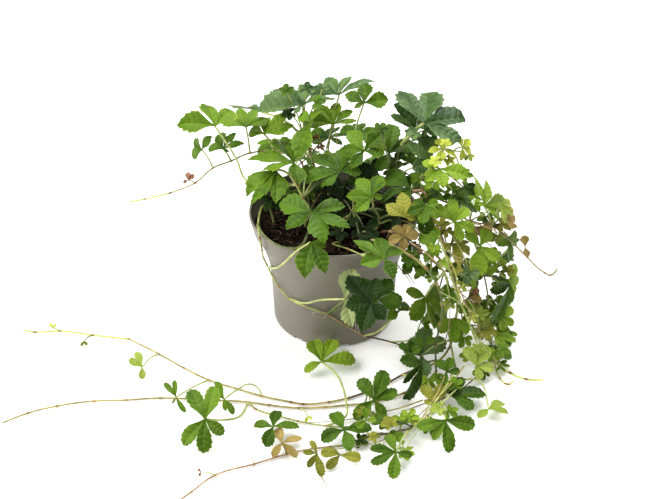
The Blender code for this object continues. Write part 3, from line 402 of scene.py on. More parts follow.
VINES["left_runner"] = [strand(
    [spot(-27, 28, 78), *airs((302, 163, 37), (275, 152, 35), (250, 153, 30), (231, 161, 25), (213, 168, 21),
     (195, 183, 18), (170, 193, 16), (145, 199, 14), (129, 202, 12))],
    [leaf(3, air(246, 127, 26), [(222, 117), (239, 108), (257, 109), (268, 118)]),
     leaf(2, air(264, 134, 22), [(250, 131), (271, 117), (290, 114), (294, 125)], "young"),
     leaf(4, air(223, 149, 22), [(209, 147), (219, 133), (237, 133), (244, 142), (229, 152)]),
     leaf(5, air(202, 150, 18), [(192, 155), (195, 139), (212, 136)]),
     leaf(6, air(188, 180, 16), [(183, 183), (188, 172), (195, 175)], "dry"),
     leaf(2, air(290, 152, 32), [(271, 144), (283, 136), (298, 138), (305, 148)])],
    girth=0.8)]

VINES["rear_left_shoot"] = [strand(
    [spot(-15, 26, 78), *airs((313, 163, 30), (308, 148, 30), (304, 137, 28))],
    [leaf(3, air(303, 105, 24), [(277, 83), (307, 79), (331, 97), (258, 114), (293, 114)], "grey"),
     leaf(2, air(311, 122, 14), [(296, 159), (299, 116), (320, 110)], via=[air(308, 138, 26)], droop=0.2),
     leaf(3, air(262, 112, 40), [(228, 106), (247, 106), (262, 103)], "grey")])]

VINES["rear_shoot"] = [strand(
    [spot(-4, 33, 78), *airs((330, 164, 37), (328, 148, 38))],
    [leaf(2, air(334, 124, 30), [(302, 120), (318, 104), (337, 102), (354, 110), (358, 121)], "young"),
     leaf(2, air(339, 95, 36), [(311, 89), (328, 77), (349, 76), (374, 79)], "grey")])]

VINES["rear_right_shoot"] = [strand(
    [spot(12, 24, 78), *airs((352, 170, 22), (351, 150, 22))],
    [leaf(2, air(364, 103, 24), [(344, 95), (354, 108), (366, 83), (389, 101)]),
     leaf(1, air(364, 151, -2), [(346, 132), (339, 148), (351, 168), (384, 132), (384, 155)])])]

VINES["right_crown"] = [strand(
    [spot(27, 12, 78), *airs((388, 186, 6), (394, 168, 8), (401, 145, 8))],
    [leaf(3, air(424, 123, 6), [(405, 92), (429, 93), (467, 121), (460, 142)], "grey"),
     leaf(3, air(417, 131, 14), [(390, 117), (393, 105), (404, 130)], "grey"),
     leaf(2, air(389, 153, 0), [(363, 130), (392, 124), (411, 140), (379, 171)], "old"),
     leaf(1, air(430, 162, -8), [(408, 143), (420, 134), (412, 168)], "grey"),
     leaf(1, air(410, 188, -12), [(383, 178), (380, 200), (396, 206)], "old"),
     leaf(2, air(406, 153, 18), [(394, 158), (421, 166), (414, 146)], "old")])]

VINES["bright_shoot"] = [strand(
    [spot(35, 2, 78), *airs((415, 188, -3), (430, 168, -5), (442, 160, -6), (453, 151, -6))],
    [leaf(4, air(443, 149, -12), [(439, 138), (453, 139), (456, 157), (439, 162), (428, 152)], "lime"),
     leaf(2, air(440, 169, -16), [(421, 163), (425, 182), (445, 188), (469, 177)], "young"),
     leaf(4, air(462, 147, -6), [(458, 136), (470, 139), (471, 152), (462, 161)], "lime"),
     leaf(1, air(452, 196, -6), [(478, 214), (470, 197), (456, 186), (441, 198)], "old")],
    girth=0.7)]

VINES["right_runner"] = [strand(
    [spot(44, 10, 78), spot(55, 9, 97), *airs((440, 195, 0), (455, 212, -4), (470, 221, -10),
     (492, 226, -14), (513, 243, -16), (527, 257, -16), (545, 273, -16), (551, 275, -16), (557, 269, -16))],
    [leaf(5, air(484, 206, -16), [(475, 174), (488, 181), (505, 199), (501, 217)], "young"),
     leaf(5, air(506, 216, -18), [(511, 206), (516, 219), (513, 229)], "bronze"),
     leaf(6, air(507, 238, -20), [(509, 263), (517, 236), (498, 246)], "old"),
     leaf(7, air(525, 247, -16), [(524, 235), (527, 258)], "bronze"),
     leaf(6, air(508, 281, -22), [(517, 265), (519, 279), (515, 294)], "young", via=[air(497, 268, -18)]),
     leaf(4, air(482, 226, -10), [(470, 236), (492, 238), (496, 226)], "bronze"),
     leaf(5, air(500, 204, -12), [(512, 206), (514, 216), (506, 222)], "soft")],
    girth=0.75)]

VINES["right_cascade"] = [strand(
    [spot(44, -12, 78), *airs((421, 190, -20), (430, 210, -24), (440, 232, -28), (449, 260, -34),
     (455, 284, -40), (461, 305, -46), (470, 325, -52), (481, 343, -58), (494, 361, -65)),
     *lows((510, 373, 2.6), (526, 379), (543, 380))],
    [leaf(3, air(454, 222, -34), [(440, 208), (453, 199), (468, 208), (474, 231), (464, 240)], "young"),
     leaf(6, air(455, 318, -50), [(438, 332), (456, 342), (467, 334)], "young"),
     leaf(8, air(476, 366, -62), [(468, 346), (488, 346), (494, 368), (480, 380)], "soft"),
     leaf(7, air(482, 340, -58), [(477, 308), (488, 316), (474, 328)], "soft"),
     leaf(5, air(468, 284, -44), [(472, 266), (458, 274), (478, 288)], "old"),
     leaf(4, air(451, 243, -40), [(470, 256), (462, 264), (458, 232), (442, 250)], "olive"),
     leaf(2, air(426, 198, -14), [(437, 210), (412, 212), (437, 190), (418, 224)], "old"),
     leaf(6, air(468, 298, -46), [(478, 288), (482, 300), (472, 310)], "bronze"),
     leaf(2, air(426, 208, -18), [(411, 221), (429, 233), (419, 232)], "old"),
     leaf(5, air(470, 276, -46), [(476, 276), (474, 289), (468, 284)], "young")],
    girth=1.0)]

VINES["dark_cascade"] = [strand(
    [spot(44, -1, 78), spot(54, -3, 98), *airs((448, 203, -10), (463, 222, -15), (476, 247, -18),
     (484, 275, -23), (488, 300, -27), (487, 322, -34), (490, 342, -42)), *lows((494, 362), (500, 378),
     (507, 384), (514, 381))],
    [leaf(5, air(510, 284, -24), [(490, 292), (494, 327), (506, 306), (500, 279)], "old"),
     leaf(7, air(501, 318, -38), [(513, 308), (514, 324), (503, 331)], "young"),
     leaf(8, air(494, 335, -48), [(516, 341), (510, 329), (505, 348)], "young"),
     leaf(8, air(495, 354, -62), [(512, 357), (506, 347), (494, 345)], "old"),
     leaf(4, air(480, 246, -18), [(466, 233), (490, 231), (478, 277), (498, 262)], "young"),
     leaf(5, air(497, 268, -24), [(485, 254), (486, 273), (502, 257)], "young"),
     leaf(6, air(480, 302, -34), [(471, 290), (470, 310), (486, 318)], "old"),
     leaf(7, air(500, 338, -42), [(512, 332), (511, 346), (498, 350)])],
    girth=0.8)]

VINES["inner_cascade"] = [strand(
    [spot(28, -31, 78), spot(38, -41, 97), *airs((419, 251, -48), (432, 260, -51), (444, 272, -52),
     (449, 296, -52), (446, 318, -54), (450, 340, -58)), *lows((455, 366, 4), (448, 385, 2.2),
     (441, 401, 1.8), (427, 416, 1.8), (413, 427), (400, 431), (386, 434), (366, 438), (350, 444),
     (330, 447), (311, 449), (287, 454), (254, 464), (215, 475), (191, 492), (180, 500))],
    [leaf(2, air(404, 236, -50), [(388, 241), (394, 226), (409, 225), (418, 236), (404, 251)], "bronze"),
     leaf(4, air(425, 297, -48), [(406, 291), (441, 289), (410, 319), (432, 330), (445, 318)], "young",
          via=[air(432, 286, -50)]),
     leaf(7, low(421, 356, 13), [(406, 343), (432, 328), (444, 338), (427, 377)], "grey"),
     leaf(8, low(422, 363, 8), [(400, 362), (402, 381), (404, 400)], "old"),
     leaf(10, low(436, 403, 9), [(421, 386), (441, 384), (424, 402)], "olive"),
     leaf(9, low(453, 397, 9), [(483, 391), (458, 377), (473, 410), (442, 384)], "old"),
     leaf(10, low(445, 420, 10), [(475, 426), (449, 453), (435, 441), (418, 430)], width=0.8),
     leaf(9, low(489, 409, 6), [(479, 418), (504, 403), (508, 413)], "soft",
          via=[low(477, 380, 9)], width=0.9),
     leaf(13, low(401, 425, 8), [(379, 428), (392, 416), (406, 412), (421, 419)], width=0.85),
     leaf(12, low(396, 452, 9), [(370, 450), (370, 461), (388, 434), (412, 457), (393, 479)], width=0.8),
     leaf(17, low(340, 455, 6), [(321, 451), (328, 470), (361, 459)], "olive", width=0.8),
     leaf(18, low(317, 453, 6), [(312, 440), (303, 453), (309, 468), (320, 477)], "olive", width=0.7),
     leaf(19, low(282, 443, 6), [(272, 457), (277, 429), (302, 438), (298, 457)], "bronze", width=0.8),
     leaf(21, low(201, 472, 3), [(198, 469), (199, 476)], "dry"),
     leaf(8, low(447, 372, 12), [(438, 360), (452, 358), (460, 372), (443, 384)], "old"),
     leaf(5, air(452, 290, -54), [(442, 297), (444, 285), (453, 304)], "old"),
     leaf(3, air(424, 268, -46), [(414, 262), (416, 280), (434, 276)])],
    girth=0.85)]

VINES["light_shoot"] = [strand(
    [spot(14, -25, 78), *airs((376, 229, -28), (379, 219, -28), (373, 207, -27))],
    [leaf(3, air(372, 197, -28), [(346, 196), (355, 213), (357, 178), (380, 175), (383, 197)], "mid"),
     leaf(2, air(405, 217, -42), [(386, 204), (404, 192), (423, 202), (416, 219)], "olive")],
    girth=0.8)]

VINES["rim_shoot"] = [strand(
    [spot(28, -18, 78), *airs((408, 222, -30), (424, 236, -36))],
    [leaf(2, air(434, 246, -42), [(419, 236), (434, 228), (426, 263)]),
     leaf(2, air(414, 262, -54), [(400, 252), (402, 274), (425, 277), (416, 248)]),
     leaf(1, air(436, 264, -46), [(433, 280), (442, 268)])],
    girth=0.8)]

VINES["front_shoot"] = [strand(
    [spot(4, -36, 78), *airs((333, 244, -44), (348, 249, -55), (362, 255, -63))],
    [leaf(3, air(384, 258, -66), [(353, 241), (376, 237), (361, 266), (394, 279), (400, 249)])],
    girth=0.7)]

# The leaves of this shoot take the "shade" tone, painted shade for the crown's dark middle
VINES["shade_shoot"] = [strand(
    [spot(4, -8, 78), *airs((352, 212, -10), (352, 192, -4))],
    [leaf(2, air(370, 165, 4), [(352, 170), (360, 179), (380, 162), (374, 184)], "shade"),
     leaf(1, air(344, 200, -6), [(328, 186), (352, 184), (364, 206), (334, 216)], "shade"),
     leaf(1, air(364, 228, -20), [(350, 221), (352, 237), (378, 238), (378, 222)], "shade"),
     leaf(1, air(396, 214, -16), [(380, 216), (396, 228), (416, 218)], "shade")],
    girth=0.8)]

VINES["front_left_shoot"] = [strand(
    [spot(-20, -12, 78), *airs((310, 212, -18), (303, 198, -16), (296, 185, -12), (289, 174, -8))],
    [leaf(4, air(294, 163, -14), [(238, 161), (283, 138), (300, 184), (262, 170)]),
     leaf(4, air(276, 170, -6), [(245, 195), (253, 206), (279, 203)]),
     leaf(2, air(340, 172, 6), [(317, 153), (343, 149), (304, 180), (320, 186), (362, 172)], "old"),
     leaf(3, air(215, 126, 2), [(177, 123), (209, 104), (231, 109)], "young",
          via=airs((262, 184, -8), (247, 181, -4), (236, 158, 0))),
     # These two take the "shade" tone, painted shade inside the crown
     leaf(1, air(322, 193, 2), [(300, 190), (312, 182), (338, 190), (326, 206)], "shade"),
     leaf(2, air(272, 198, -12), [(258, 196), (264, 211), (280, 211)], "shade")])]

VINES["loop_stem"] = [strand(
    [spot(-43, -4, 78), *airs((265, 204, -10), (258, 225, -29)), *on_pots((260, 238, 2.6), (262, 250),
     (268, 267), (279, 287), (290, 299), (307, 307), (327, 314), (345, 325), (364, 336)),
     *lows((391, 342, 1.8), (409, 349), (424, 358))],
    [leaf(2, air(311, 212, -46), [(279, 203), (286, 230), (325, 243), (351, 227), (346, 208)], "old",
          via=[*lows((262, 233, 95), (275, 244, 94), (288, 248, 95), (299, 247, 96)), air(308, 233, -54)]),
     leaf(5, air(311, 242, -63), [(302, 278), (327, 273), (326, 247)],
          via=on_pots((276, 268, 3), (284, 263, 5), (298, 250, 5))),
     leaf(9, air(377, 299, -68), [(354, 281), (392, 279), (401, 306), (367, 323), (351, 308)], "old",
          via=[on_pot(347, 306, 6)]),
     leaf(7, air(345, 299, -54), [(351, 268), (353, 327), (367, 317)], "pale",
          via=on_pots((302, 303, 2.2), (320, 300, 2.6))),
     leaf(11, air(399, 311, -58), [(391, 291), (408, 304), (386, 318)], via=[air(383, 328, -60)]),
     leaf(12, air(421, 322, -54), [(416, 311), (428, 318), (430, 330)], "young", via=[low(409, 340, 5)])],
    girth=0.85)]

VINES["far_runner"] = [strand(
    [spot(38, -23, 78), spot(48, -35, 97), *airs((437, 256, -43), (452, 276, -46), (457, 300, -49),
     (455, 325, -52), (449, 348, -56)), *lows((437, 362, 2), (421, 367, 1.8), (402, 375, 1.8),
     (391, 381, 1.8), (369, 391, 1.8), (349, 398, 1.8), (329, 402), (303, 404), (291, 402), (262, 396),
     (238, 389), (209, 380), (184, 368), (159, 354), (129, 339), (93, 335), (60, 331), (35, 332),
     (23, 330))],
    [leaf(11, low(374, 400, 8), [(361, 378), (388, 372), (398, 393), (353, 418), (385, 417)], width=0.85),
     leaf(16, low(224, 399, 7), [(209, 388), (215, 382), (225, 411), (234, 414)], "young",
          via=lows((258, 388, 4), (250, 384, 6), (240, 388, 7)), width=0.75),
     leaf(18, low(176, 397, 5), [(165, 382), (174, 380), (173, 404), (184, 413)],
          via=[low(197, 385, 4)], width=0.5),
     leaf(20, low(142, 367, 4), [(136, 352), (130, 358), (143, 379)], "soft"),
     leaf(23, low(53, 328, 3), [(50, 323), (56, 324)], "lime"),
     leaf(22, low(84, 341, 3), [(81, 346), (87, 345)], "olive"),
     leaf(8, low(409, 352, 9), [(399, 344), (412, 341), (420, 350)], "old")],
    girth=0.9)]

VINES["near_runner"] = [strand(
    [spot(18, -38, 78), spot(30, -53, 97), *airs((411, 256, -60), (426, 268, -63), (437, 284, -64),
     (442, 304, -66), (440, 324, -67), (436, 345, -69)), *lows((436, 372, 2), (424, 383, 1.8),
     (404, 393, 1.8), (388, 398, 1.8), (369, 403, 1.8), (347, 405, 1.8), (325, 407), (300, 408), (269, 405),
     (248, 402), (208, 400), (160, 398), (126, 400), (94, 401), (57, 406), (28, 413), (2, 423))],
    [leaf(17, low(205, 419, 15), [(194, 388), (217, 387), (182, 444), (202, 453), (224, 434)],
          via=lows((240, 416, 3), (224, 420, 8)), width=0.85),
     leaf(15, low(308, 416, 3), [(306, 422), (312, 419)], "lime"),
     leaf(7, air(424, 346, -76), [(412, 352), (416, 338), (434, 338)], "old")],
    girth=0.9),
    strand(
    lows((248, 402), (256, 409), (279, 416), (298, 421), (327, 426), (347, 427), (362, 424)),
    [leaf(2, low(273, 427, 9), [(254, 424), (276, 411), (267, 447), (299, 425)], width=0.85),
     leaf(4, low(322, 362, 9), [(311, 340), (334, 340), (356, 361), (304, 371)], "young",
          via=lows((346, 416, 5), (346, 402, 9), (343, 388, 10), (336, 374, 10)), width=0.85),
     leaf(5, low(344, 430, 9), [(331, 413), (321, 440), (352, 450), (372, 429)], "old", width=0.9),
     leaf(6, low(366, 420, 9), [(357, 428), (366, 408), (376, 420)], "young")],
    girth=0.7, rooted=False)]

# Two shoots behind, which the picture hides
VINES["back_left_shoot"] = [strand(
    [spot(-12, 44, 78), spot(-18, 58, 101), spot(-26, 70, 92), spot(-34, 78, 72), spot(-39, 82, 50)],
    [plain_leaf(1, spot(-4, 58, 116), 80, 21),
     plain_leaf(2, spot(-42, 60, 108), 150, 19, "mid"),
     plain_leaf(3, spot(-22, 84, 84), 60, 19),
     plain_leaf(4, spot(-46, 84, 62), 120, 15, "mid")],
    girth=0.8)]

VINES["back_right_shoot"] = [strand(
    [spot(22, 40, 78), spot(32, 54, 100), spot(43, 66, 90), spot(50, 74, 68), spot(53, 78, 46)],
    [plain_leaf(1, spot(20, 58, 120), 95, 20),
     plain_leaf(2, spot(56, 56, 106), 20, 19, "mid"),
     plain_leaf(3, spot(38, 82, 82), 110, 18),
     plain_leaf(4, spot(62, 78, 60), 60, 16, "mid")],
    girth=0.8)]


# Leaves that the solids leave out: those of the crown, the shaded middle, the dense cascade and the cluster
# on the surface. For each vine: the node, the hub's picture point and its depth in mm, the longest leaflet
# in px, where it points in degrees and the tone. One is a ready leaf, its leaflets drawn one by one

FILLERS = {
    "rear_left_shoot": [
        (3, 287, 92, 24, 11, 100, "mid"), (3, 306, 90, 28, 11, 80, "grey"), (3, 322, 89, 32, 9, 60, "grey"),
        (3, 315, 103, 20, 12, 10, "old"), (3, 291, 113, 26, 11, 200, "grey"),
    ],
    "right_crown": [
        (3, 416, 133, 4, 11, 200, "grey"), (2, 410, 163, 14, 13, 80, "old"),
        (1, 400, 178, 10, 14, 170, "grey"), (1, 372, 170, 8, 14, 70, "grey"),
        (3, 425, 130, 12, 15, 20, "grey"), (3, 420, 118, 16, 14, 330, "grey"),
        (2, 412, 178, 2, 15, 300, "old"), (1, 392, 170, 12, 16, 95, "old"), (3, 438, 140, 8, 14, 250, "old"),
        (1, 380, 130, 4, 10, 60, "old"),
    ],
    "bright_shoot": [
        (3, 445, 144, -16, 8, 60, "lime"), (4, 462, 175, -10, 12, 350, "young"),
        (1, 432, 192, -2, 17, 265, "old"), (1, 456, 197, 4, 18, 330, "old"),
        (2, 452, 190, -12, 11, 80, "mid"), (2, 434, 182, -6, 13, 230, "young"),
        (2, 464, 188, -4, 14, 320, "old"), (3, 437, 161, -14, 10, 200, "lime"),
        (2, 420, 178, -4, 12, 150, "mid"), (4, 468, 156, -4, 8, 300, "soft"),
        (3, 448, 160, -16, 9, 320, "lime"),
    ],
    "right_runner": [
        (4, 474, 204, -10, 12, 300, "young"), (4, 486, 216, -6, 13, 265, "mid"),
        (5, 500, 224, -12, 12, 330, "olive"), (4, 474, 198, 4, 14, 100, "young"),
        (4, 476, 230, -4, 14, 255, "young"), (5, 497, 236, -14, 13, 275, "soft"),
        (4, 468, 208, 4, 12, 200, "mid"), (5, 508, 226, -8, 11, 50, "bronze"),
        (5, 503, 238, -10, 11, 290, "olive"), (4, 494, 208, 0, 11, 20, "young"),
        (5, 511, 240, -8, 10, 300, "grey"), (6, 508, 256, -16, 10, 250, "grey"),
    ],
    "right_cascade": [
        (3, 446, 230, -40, 10, 270, "olive"), (3, 438, 250, -44, 9, 200, "young"),
        (5, 461, 286, -52, 9, 0, "soft"), (6, 462, 320, -56, 10, 300, "young"),
        (5, 453, 270, -48, 9, 250, "soft"), (2, 425, 206, -18, 22, 262, "mid"),
        (5, 462, 262, -36, 13, 265, "mid"), (5, 470, 272, -44, 15, 245, "grey"),
        (5, 450, 289, -44, 10, 240, "soft"), (4, 441, 226, -38, 11, 80, "olive"),
        (6, 464, 306, -50, 12, 300, "young"), (7, 486, 330, -52, 14, 280, "olive"),
        (8, 491, 354, -58, 12, 320, "young"), (7, 464, 338, -56, 13, 250, "young"),
        (8, 470, 358, -60, 13, 100, "soft"), (7, 462, 330, -46, 12, 200, "young"),
        (3, 430, 232, -20, 15, 265, "young"),
        (3, 444, 212, -14, 12, 120, "young"), (6, 478, 316, -44, 14, 80, "soft"),
        (9, 500, 366, -62, 10, 0, "young"), (9, 484, 372, -56, 12, 200, "young"),
        (4, 458, 246, -30, 13, 340, "olive"), (4, 446, 262, -56, 10, 230, "young"),
        (5, 456, 268, -56, 9, 280, "olive"), (6, 449, 302, -62, 11, 250, "soft"),
        (6, 470, 318, -64, 9, 20, "lime"), (7, 478, 346, -66, 10, 280, "soft"),
        (4, 434, 246, -50, 9, 260, "young"),
    ],
    "dark_cascade": [
        (4, 490, 252, -18, 13, 285, "olive"), (4, 492, 266, -26, 12, 250, "young"),
        (5, 480, 270, -22, 13, 270, "olive"), (6, 494, 300, -28, 16, 265, "mid"),
        (7, 505, 336, -36, 12, 20, "young"), (5, 500, 284, -18, 14, 70, "mid"),
        (5, 507, 272, -18, 10, 60, "olive"), (6, 500, 318, -26, 13, 250, "mid"),
        (7, 482, 318, -30, 16, 95, "young"), (8, 500, 350, -44, 12, 340, "mid"),
    ],
    "rim_shoot": [
        (2, 426, 240, -34, 13, 60, "mid"), (2, 432, 268, -44, 12, 250, "mid"),
        (1, 412, 246, -34, 11, 300, "old"),
    ],
    "shade_shoot": [
        # These take the "shade" tone, painted shade for the crown's dark middle
        (1, 342, 232, -24, 14, 200, "shade"), (1, 384, 224, -12, 15, 30, "shade"),
        (1, 368, 206, -6, 15, 180, "shade"), (2, 340, 188, 8, 14, 110, "shade"),
        (1, 392, 198, -4, 16, 190, "shade"), (1, 360, 240, -30, 14, 340, "shade"),
        (1, 350, 220, -14, 16, 10, "shade"), (1, 380, 212, -10, 14, 300, "shade"),
    ],
    "front_left_shoot": [
        (1, 294, 196, -6, 14, 200, "old"), (3, 282, 188, 0, 15, 160, "old"),
        (2, 318, 182, 4, 15, 190, "old"), (2, 306, 174, 6, 13, 40, "mid"), (1, 306, 192, 0, 14, 250, "old"),
        (2, 330, 160, 12, 13, 110, "mid"),
    ],
    "rear_right_shoot": [
        (1, 348, 162, 14, 15, 190, "old"), (2, 376, 150, 6, 12, 20, "young"),
        (1, 356, 178, 6, 14, 300, "old"),
    ],
    "rear_shoot": [
        (1, 316, 138, 34, 5, 80, "dry"), (1, 320, 146, 32, 6, 300, "dry"), (1, 311, 148, 30, 6, 200, "dry"),
    ],
    "loop_stem": [
        leaf(9, air(371, 302, -92), [(350, 274), (377, 278), (346, 308), (360, 331), (385, 320)], "shade",
        width=1.1),
    ],
    "inner_cascade": [
        (12, 384, 421, -126, 13, 200, "old"), (12, 391, 425, -131, 12, 120, "olive"),
        (12, 408, 418, -124, 13, 60, "young"), (12, 415, 421, -128, 9, 10, "lime"),
        (14, 358, 440, -144, 12, 330, "old"), (14, 371, 437, -141, 9, 0, "olive"),
        (13, 396, 441, -145, 14, 110, "mid"), (13, 403, 453, -157, 12, 350, "young"),
        (11, 436, 424, -130, 16, 255, "old"), (11, 428, 428, -134, 9, 190, "mid"),
        (10, 448, 411, -118, 12, 320, "young"), (10, 440, 408, -115, 11, 210, "soft"),
        (10, 455, 386, -94, 12, 100, "mid"), (9, 440, 378, -87, 10, 200, "mid"),
        (2, 412, 258, -40, 13, 250, "old"), (4, 434, 316, -42, 15, 280, "old"),
        (3, 430, 276, -50, 10, 320, "mid"), (3, 441, 232, -44, 5, 60, "dry"),
        (5, 473, 291, -54, 6, 340, "dry"),
    ],
    "far_runner": [
        (11, 363, 414, -121, 10, 90, "olive"), (11, 371, 417, -124, 8, 20, "soft"),
        (9, 428, 380, -70, 13, 250, "young"),
    ],
}


def filler_leaf(node, u, v, y_mm, reach, heading, tone):
    """A leaf of five leaflets, drawn by its length and heading in the picture."""
    tips = []
    for turn, share in PALM:
        angle = radians(heading + turn)
        tips.append((u + reach * share * cos(angle), v - VIEW_SQUASH * reach * share * sin(angle)))
    return leaf(node, air(u, v, y_mm), tips, tone)


# Leaf sheets for the search: each is one thin arched sheet, cut nearly to the hub between its leaflets

def leaf_facing(hub, tips):
    """The upward facing that makes a leaf's leaflets come out most alike in length."""
    best = None
    for lift in FACING_LIFTS:
        for turn in FACING_TURNS:
            level = cos(radians(lift))
            facing = Vector((sin(radians(turn)) * level, -cos(radians(turn)) * level, sin(radians(lift))))
            lengths = [(meet_plane(u, v, hub, facing) - hub).length for u, v in tips]
            spread = (max(lengths) - min(lengths)) / (sum(lengths) / len(lengths))
            cost = spread + LIFT_COST * abs(lift - USUAL_LIFT) + TURN_COST * abs(turn)
            if best is None or cost < best[0]:
                best = (cost, facing)
    return best[1]


def meet_plane(u, v, place, facing):
    """Where the sight line through (u, v) meets the plane through place."""
    line = sight_line(u, v)
    slope = line.dot(facing)
    if abs(slope) < LEAST_SLOPE:
        slope = LEAST_SLOPE if slope > 0 else -LEAST_SLOPE
    return VIEW_PLACE + line * ((place - VIEW_PLACE).dot(facing) / slope)


def square_to(way):
    """A unit vector square to way, and level unless way itself is nearly upright."""
    other = UP if abs(way.z) < TIGHTEST_LEVEL else Vector((1.0, 0.0, 0.0))
    return way.cross(other).normalized()


def leaflet_arms(hub, facing, tips, droop):
    """Each leaflet's angle and reach from the hub along the leaf's plane, in order round the facing."""
    first = square_to(facing)
    second = facing.cross(first)
    span = max((meet_plane(u, v, hub, facing) - hub).length for u, v in tips)
    sag = facing * (droop * min(span, LONGEST_LEAFLET))
    arms = []
    for u, v in tips:
        arm = meet_plane(u, v, hub - sag, facing) - (hub - sag)
        arm -= facing * arm.dot(facing)
        if arm.length > LONGEST_LEAFLET:
            arm *= LONGEST_LEAFLET / arm.length
        arms.append((atan2(arm.dot(second), arm.dot(first)), arm))
    arms.sort(key=lambda item: item[0])
    return arms


def side_points(arm, across, room, leaf_width):
    """The widest point and the shoulder tooth on one side of a leaflet, inside its half of the gap."""
    reach = arm.length
    limit = tan(min(room, WIDEST_ROOM)) * ROOM_SHARE
    points = []
    for along, half in SMALL_LEAFLET_SIDE if reach < SMALL_LEAFLET else LEAFLET_SIDE:
        width = min(LEAFLET_HALF_WIDTH * leaf_width * half, limit * along) * reach
        points.append((arm * along + across * width, along, width))
    return points


def gaps_beside(arms, number):
    """The angles between a leaflet and the ones before and after it."""
    angle, after = arms[number][0], arms[(number + 1) % len(arms)][0]
    return (angle - arms[number - 1][0]) % (2 * pi), (after - angle) % (2 * pi)


def blade_sheet(hub, facing, arms, record):
    """A leaf's sheet, as points in order round its edge and triangles that face along facing.

    Each leaflet's triangles fan out from its tip, and the leaflets stand round a small flat middle.
    """
    sag = record.droop * max(arm.length for _, arm in arms)
    points, notches = [], []
    for number, (_, arm) in enumerate(arms):
        gap_before, gap_after = gaps_beside(arms, number)
        across = facing.cross(arm).normalized()
        notch = max(NOTCH_SHARE * (arm.length + arms[number - 1][1].length) / 2, SMALLEST_NOTCH)
        notches.append(len(points))
        points.append(hub + turned(arm, facing, -gap_before / 2).normalized() * notch)
        right = side_points(arm, -across, gap_before / 2, record.width)
        left = side_points(arm, across, gap_after / 2, record.width)
        for offset, along, half in right + [(arm, 1.0, 0.0)] + left[::-1]:
            points.append(hub + offset + facing * (half * BLADE_FOLD - sag * along ** 2))
    faces = [(notches[0], notches[k], notches[k + 1]) for k in range(1, len(notches) - 1)]
    for number, start in enumerate(notches):
        end = notches[(number + 1) % len(notches)]
        ring = list(range(start, end or len(points))) + [end]
        tip = len(ring) // 2
        ring = ring[tip:] + ring[:tip]
        faces += [(ring[0], ring[k], ring[k + 1]) for k in range(1, len(ring) - 1)]
    return points, faces


def turned(arm, axis, angle):
    return arm * cos(angle) + axis.cross(arm) * sin(angle)


def thickened(sheet, facing, thickness):
    """The points and faces of a solid blade: the sheet moved to both sides, and a rim of triangles."""
    points, faces = sheet
    count = len(points)
    lift = facing * (thickness / 2)
    solid = [point + lift for point in points] + [point - lift for point in points]
    skin = faces + [(a + count, c + count, b + count) for a, b, c in faces]
    for start in range(count):
        end = (start + 1) % count
        skin += [(start, start + count, end + count), (start, end + count, end)]
    return solid, skin


def shape_of(points, faces):
    """A guard shape for the clearance search: its middle, its reach and its search tree."""
    centre = sum(points, Vector()) / len(points)
    reach = max((point - centre).length for point in points)
    return Shape(centre, reach, BVHTree.FromPolygons(points, faces))


def ring_faces(start, sides):
    """Triangles between the ring of points numbered from start and the ring after it."""
    faces = []
    for turn in range(sides):
        a, b = start + turn, start + (turn + 1) % sides
        faces += [(a, b, b + sides), (a, b + sides, a + sides)]
    return faces


def tube_guard(points, radius):
    """Three-sided sleeves along a stem or petiole."""
    corners, faces = [], []
    for start, end in zip(points, points[1:]):
        way = (end - start).normalized()
        side = square_to(way)
        faces += ring_faces(len(corners), SLEEVE_SIDES)
        for place in (start, end):
            corners += [place + turned(side, way, 2 * pi * turn / SLEEVE_SIDES) * radius
                        for turn in range(SLEEVE_SIDES)]
    return shape_of(corners, faces)


def meets(shape, others):
    for other in others:
        if (shape.centre - other.centre).length < shape.reach + other.reach:
            if shape.tree.overlap(other.tree):
                return True
    return False


# Clearance search: a leaf keeps its place in the picture and moves along the sight line until it is clear

def petiole_route(start, hub, via, bow):
    """The petiole's points: through via where the picture shows it, else in a bow that rises or leans."""
    if via:
        return [start, *via, hub]
    way = hub - start
    aside = square_to(way)
    middle = (start + hub) / 2 + (UP * bow[0] + aside * bow[1]) * way.length
    return [start, middle, hub]


def slid_along_sight(place, shift):
    """The place moved along its sight line until its depth has changed by shift."""
    line = place - VIEW_PLACE
    return place + line * (shift / line.y)


def place_leaf(record, start, obstacles, own):
    """The first clear placing of a leaf, with its guard shapes, or None."""
    facing = leaf_facing(record.hub, record.tips)
    for shift_mm in SHIFTS_MM:
        shift = shift_mm * MM
        hub = slid_along_sight(record.hub, shift)
        arms = leaflet_arms(hub, facing, record.tips, record.droop)
        sheet = blade_sheet(hub, facing, arms, record)
        if min(point.z for point in sheet[0]) < FLOOR_LIFT + BLADE_THICKNESS:
            continue
        guard = shape_of(*thickened(sheet, facing, BLADE_THICKNESS + 2 * GUARD_MARGIN))
        if meets(guard, obstacles) or meets(guard, own):
            continue
        steps = len(record.via) + 1
        via = [slid_along_sight(place, shift * number / steps) for number, place in enumerate(record.via)]
        for bow in PETIOLE_BOWS if not via else PETIOLE_BOWS[:1]:
            petiole = petiole_route(start, hub, via, bow)
            side = 1 if (petiole[-2] - hub).dot(facing) > 0 else -1
            petiole[-1] = hub + facing * (side * PETIOLE_SEAT)
            sleeve = tube_guard(petiole, PETIOLE_RADIUS + GUARD_MARGIN)
            lowest = min(place.z for place in petiole)
            if lowest > FLOOR_LIFT + PETIOLE_RADIUS and not meets(sleeve, obstacles):
                return Grown(record, facing, hub, arms, petiole), guard, sleeve
    return None


def stem_points(line):
    """A strand's points. A rooted one starts in the soil, straight below its first point."""
    if not line.rooted:
        return list(line.points)
    start = line.points[0]
    root = Vector((start.x, start.y, SOIL_TOP - ROOT_DEPTH))
    collar = Vector((start.x, start.y, SOIL_TOP + ROOT_COLLAR_HEIGHT))
    return [root, collar, *line.points[1:]]


def stem_radius(line, share):
    return (STEM_RADIUS + (TIP_RADIUS - STEM_RADIUS) * share) * line.girth


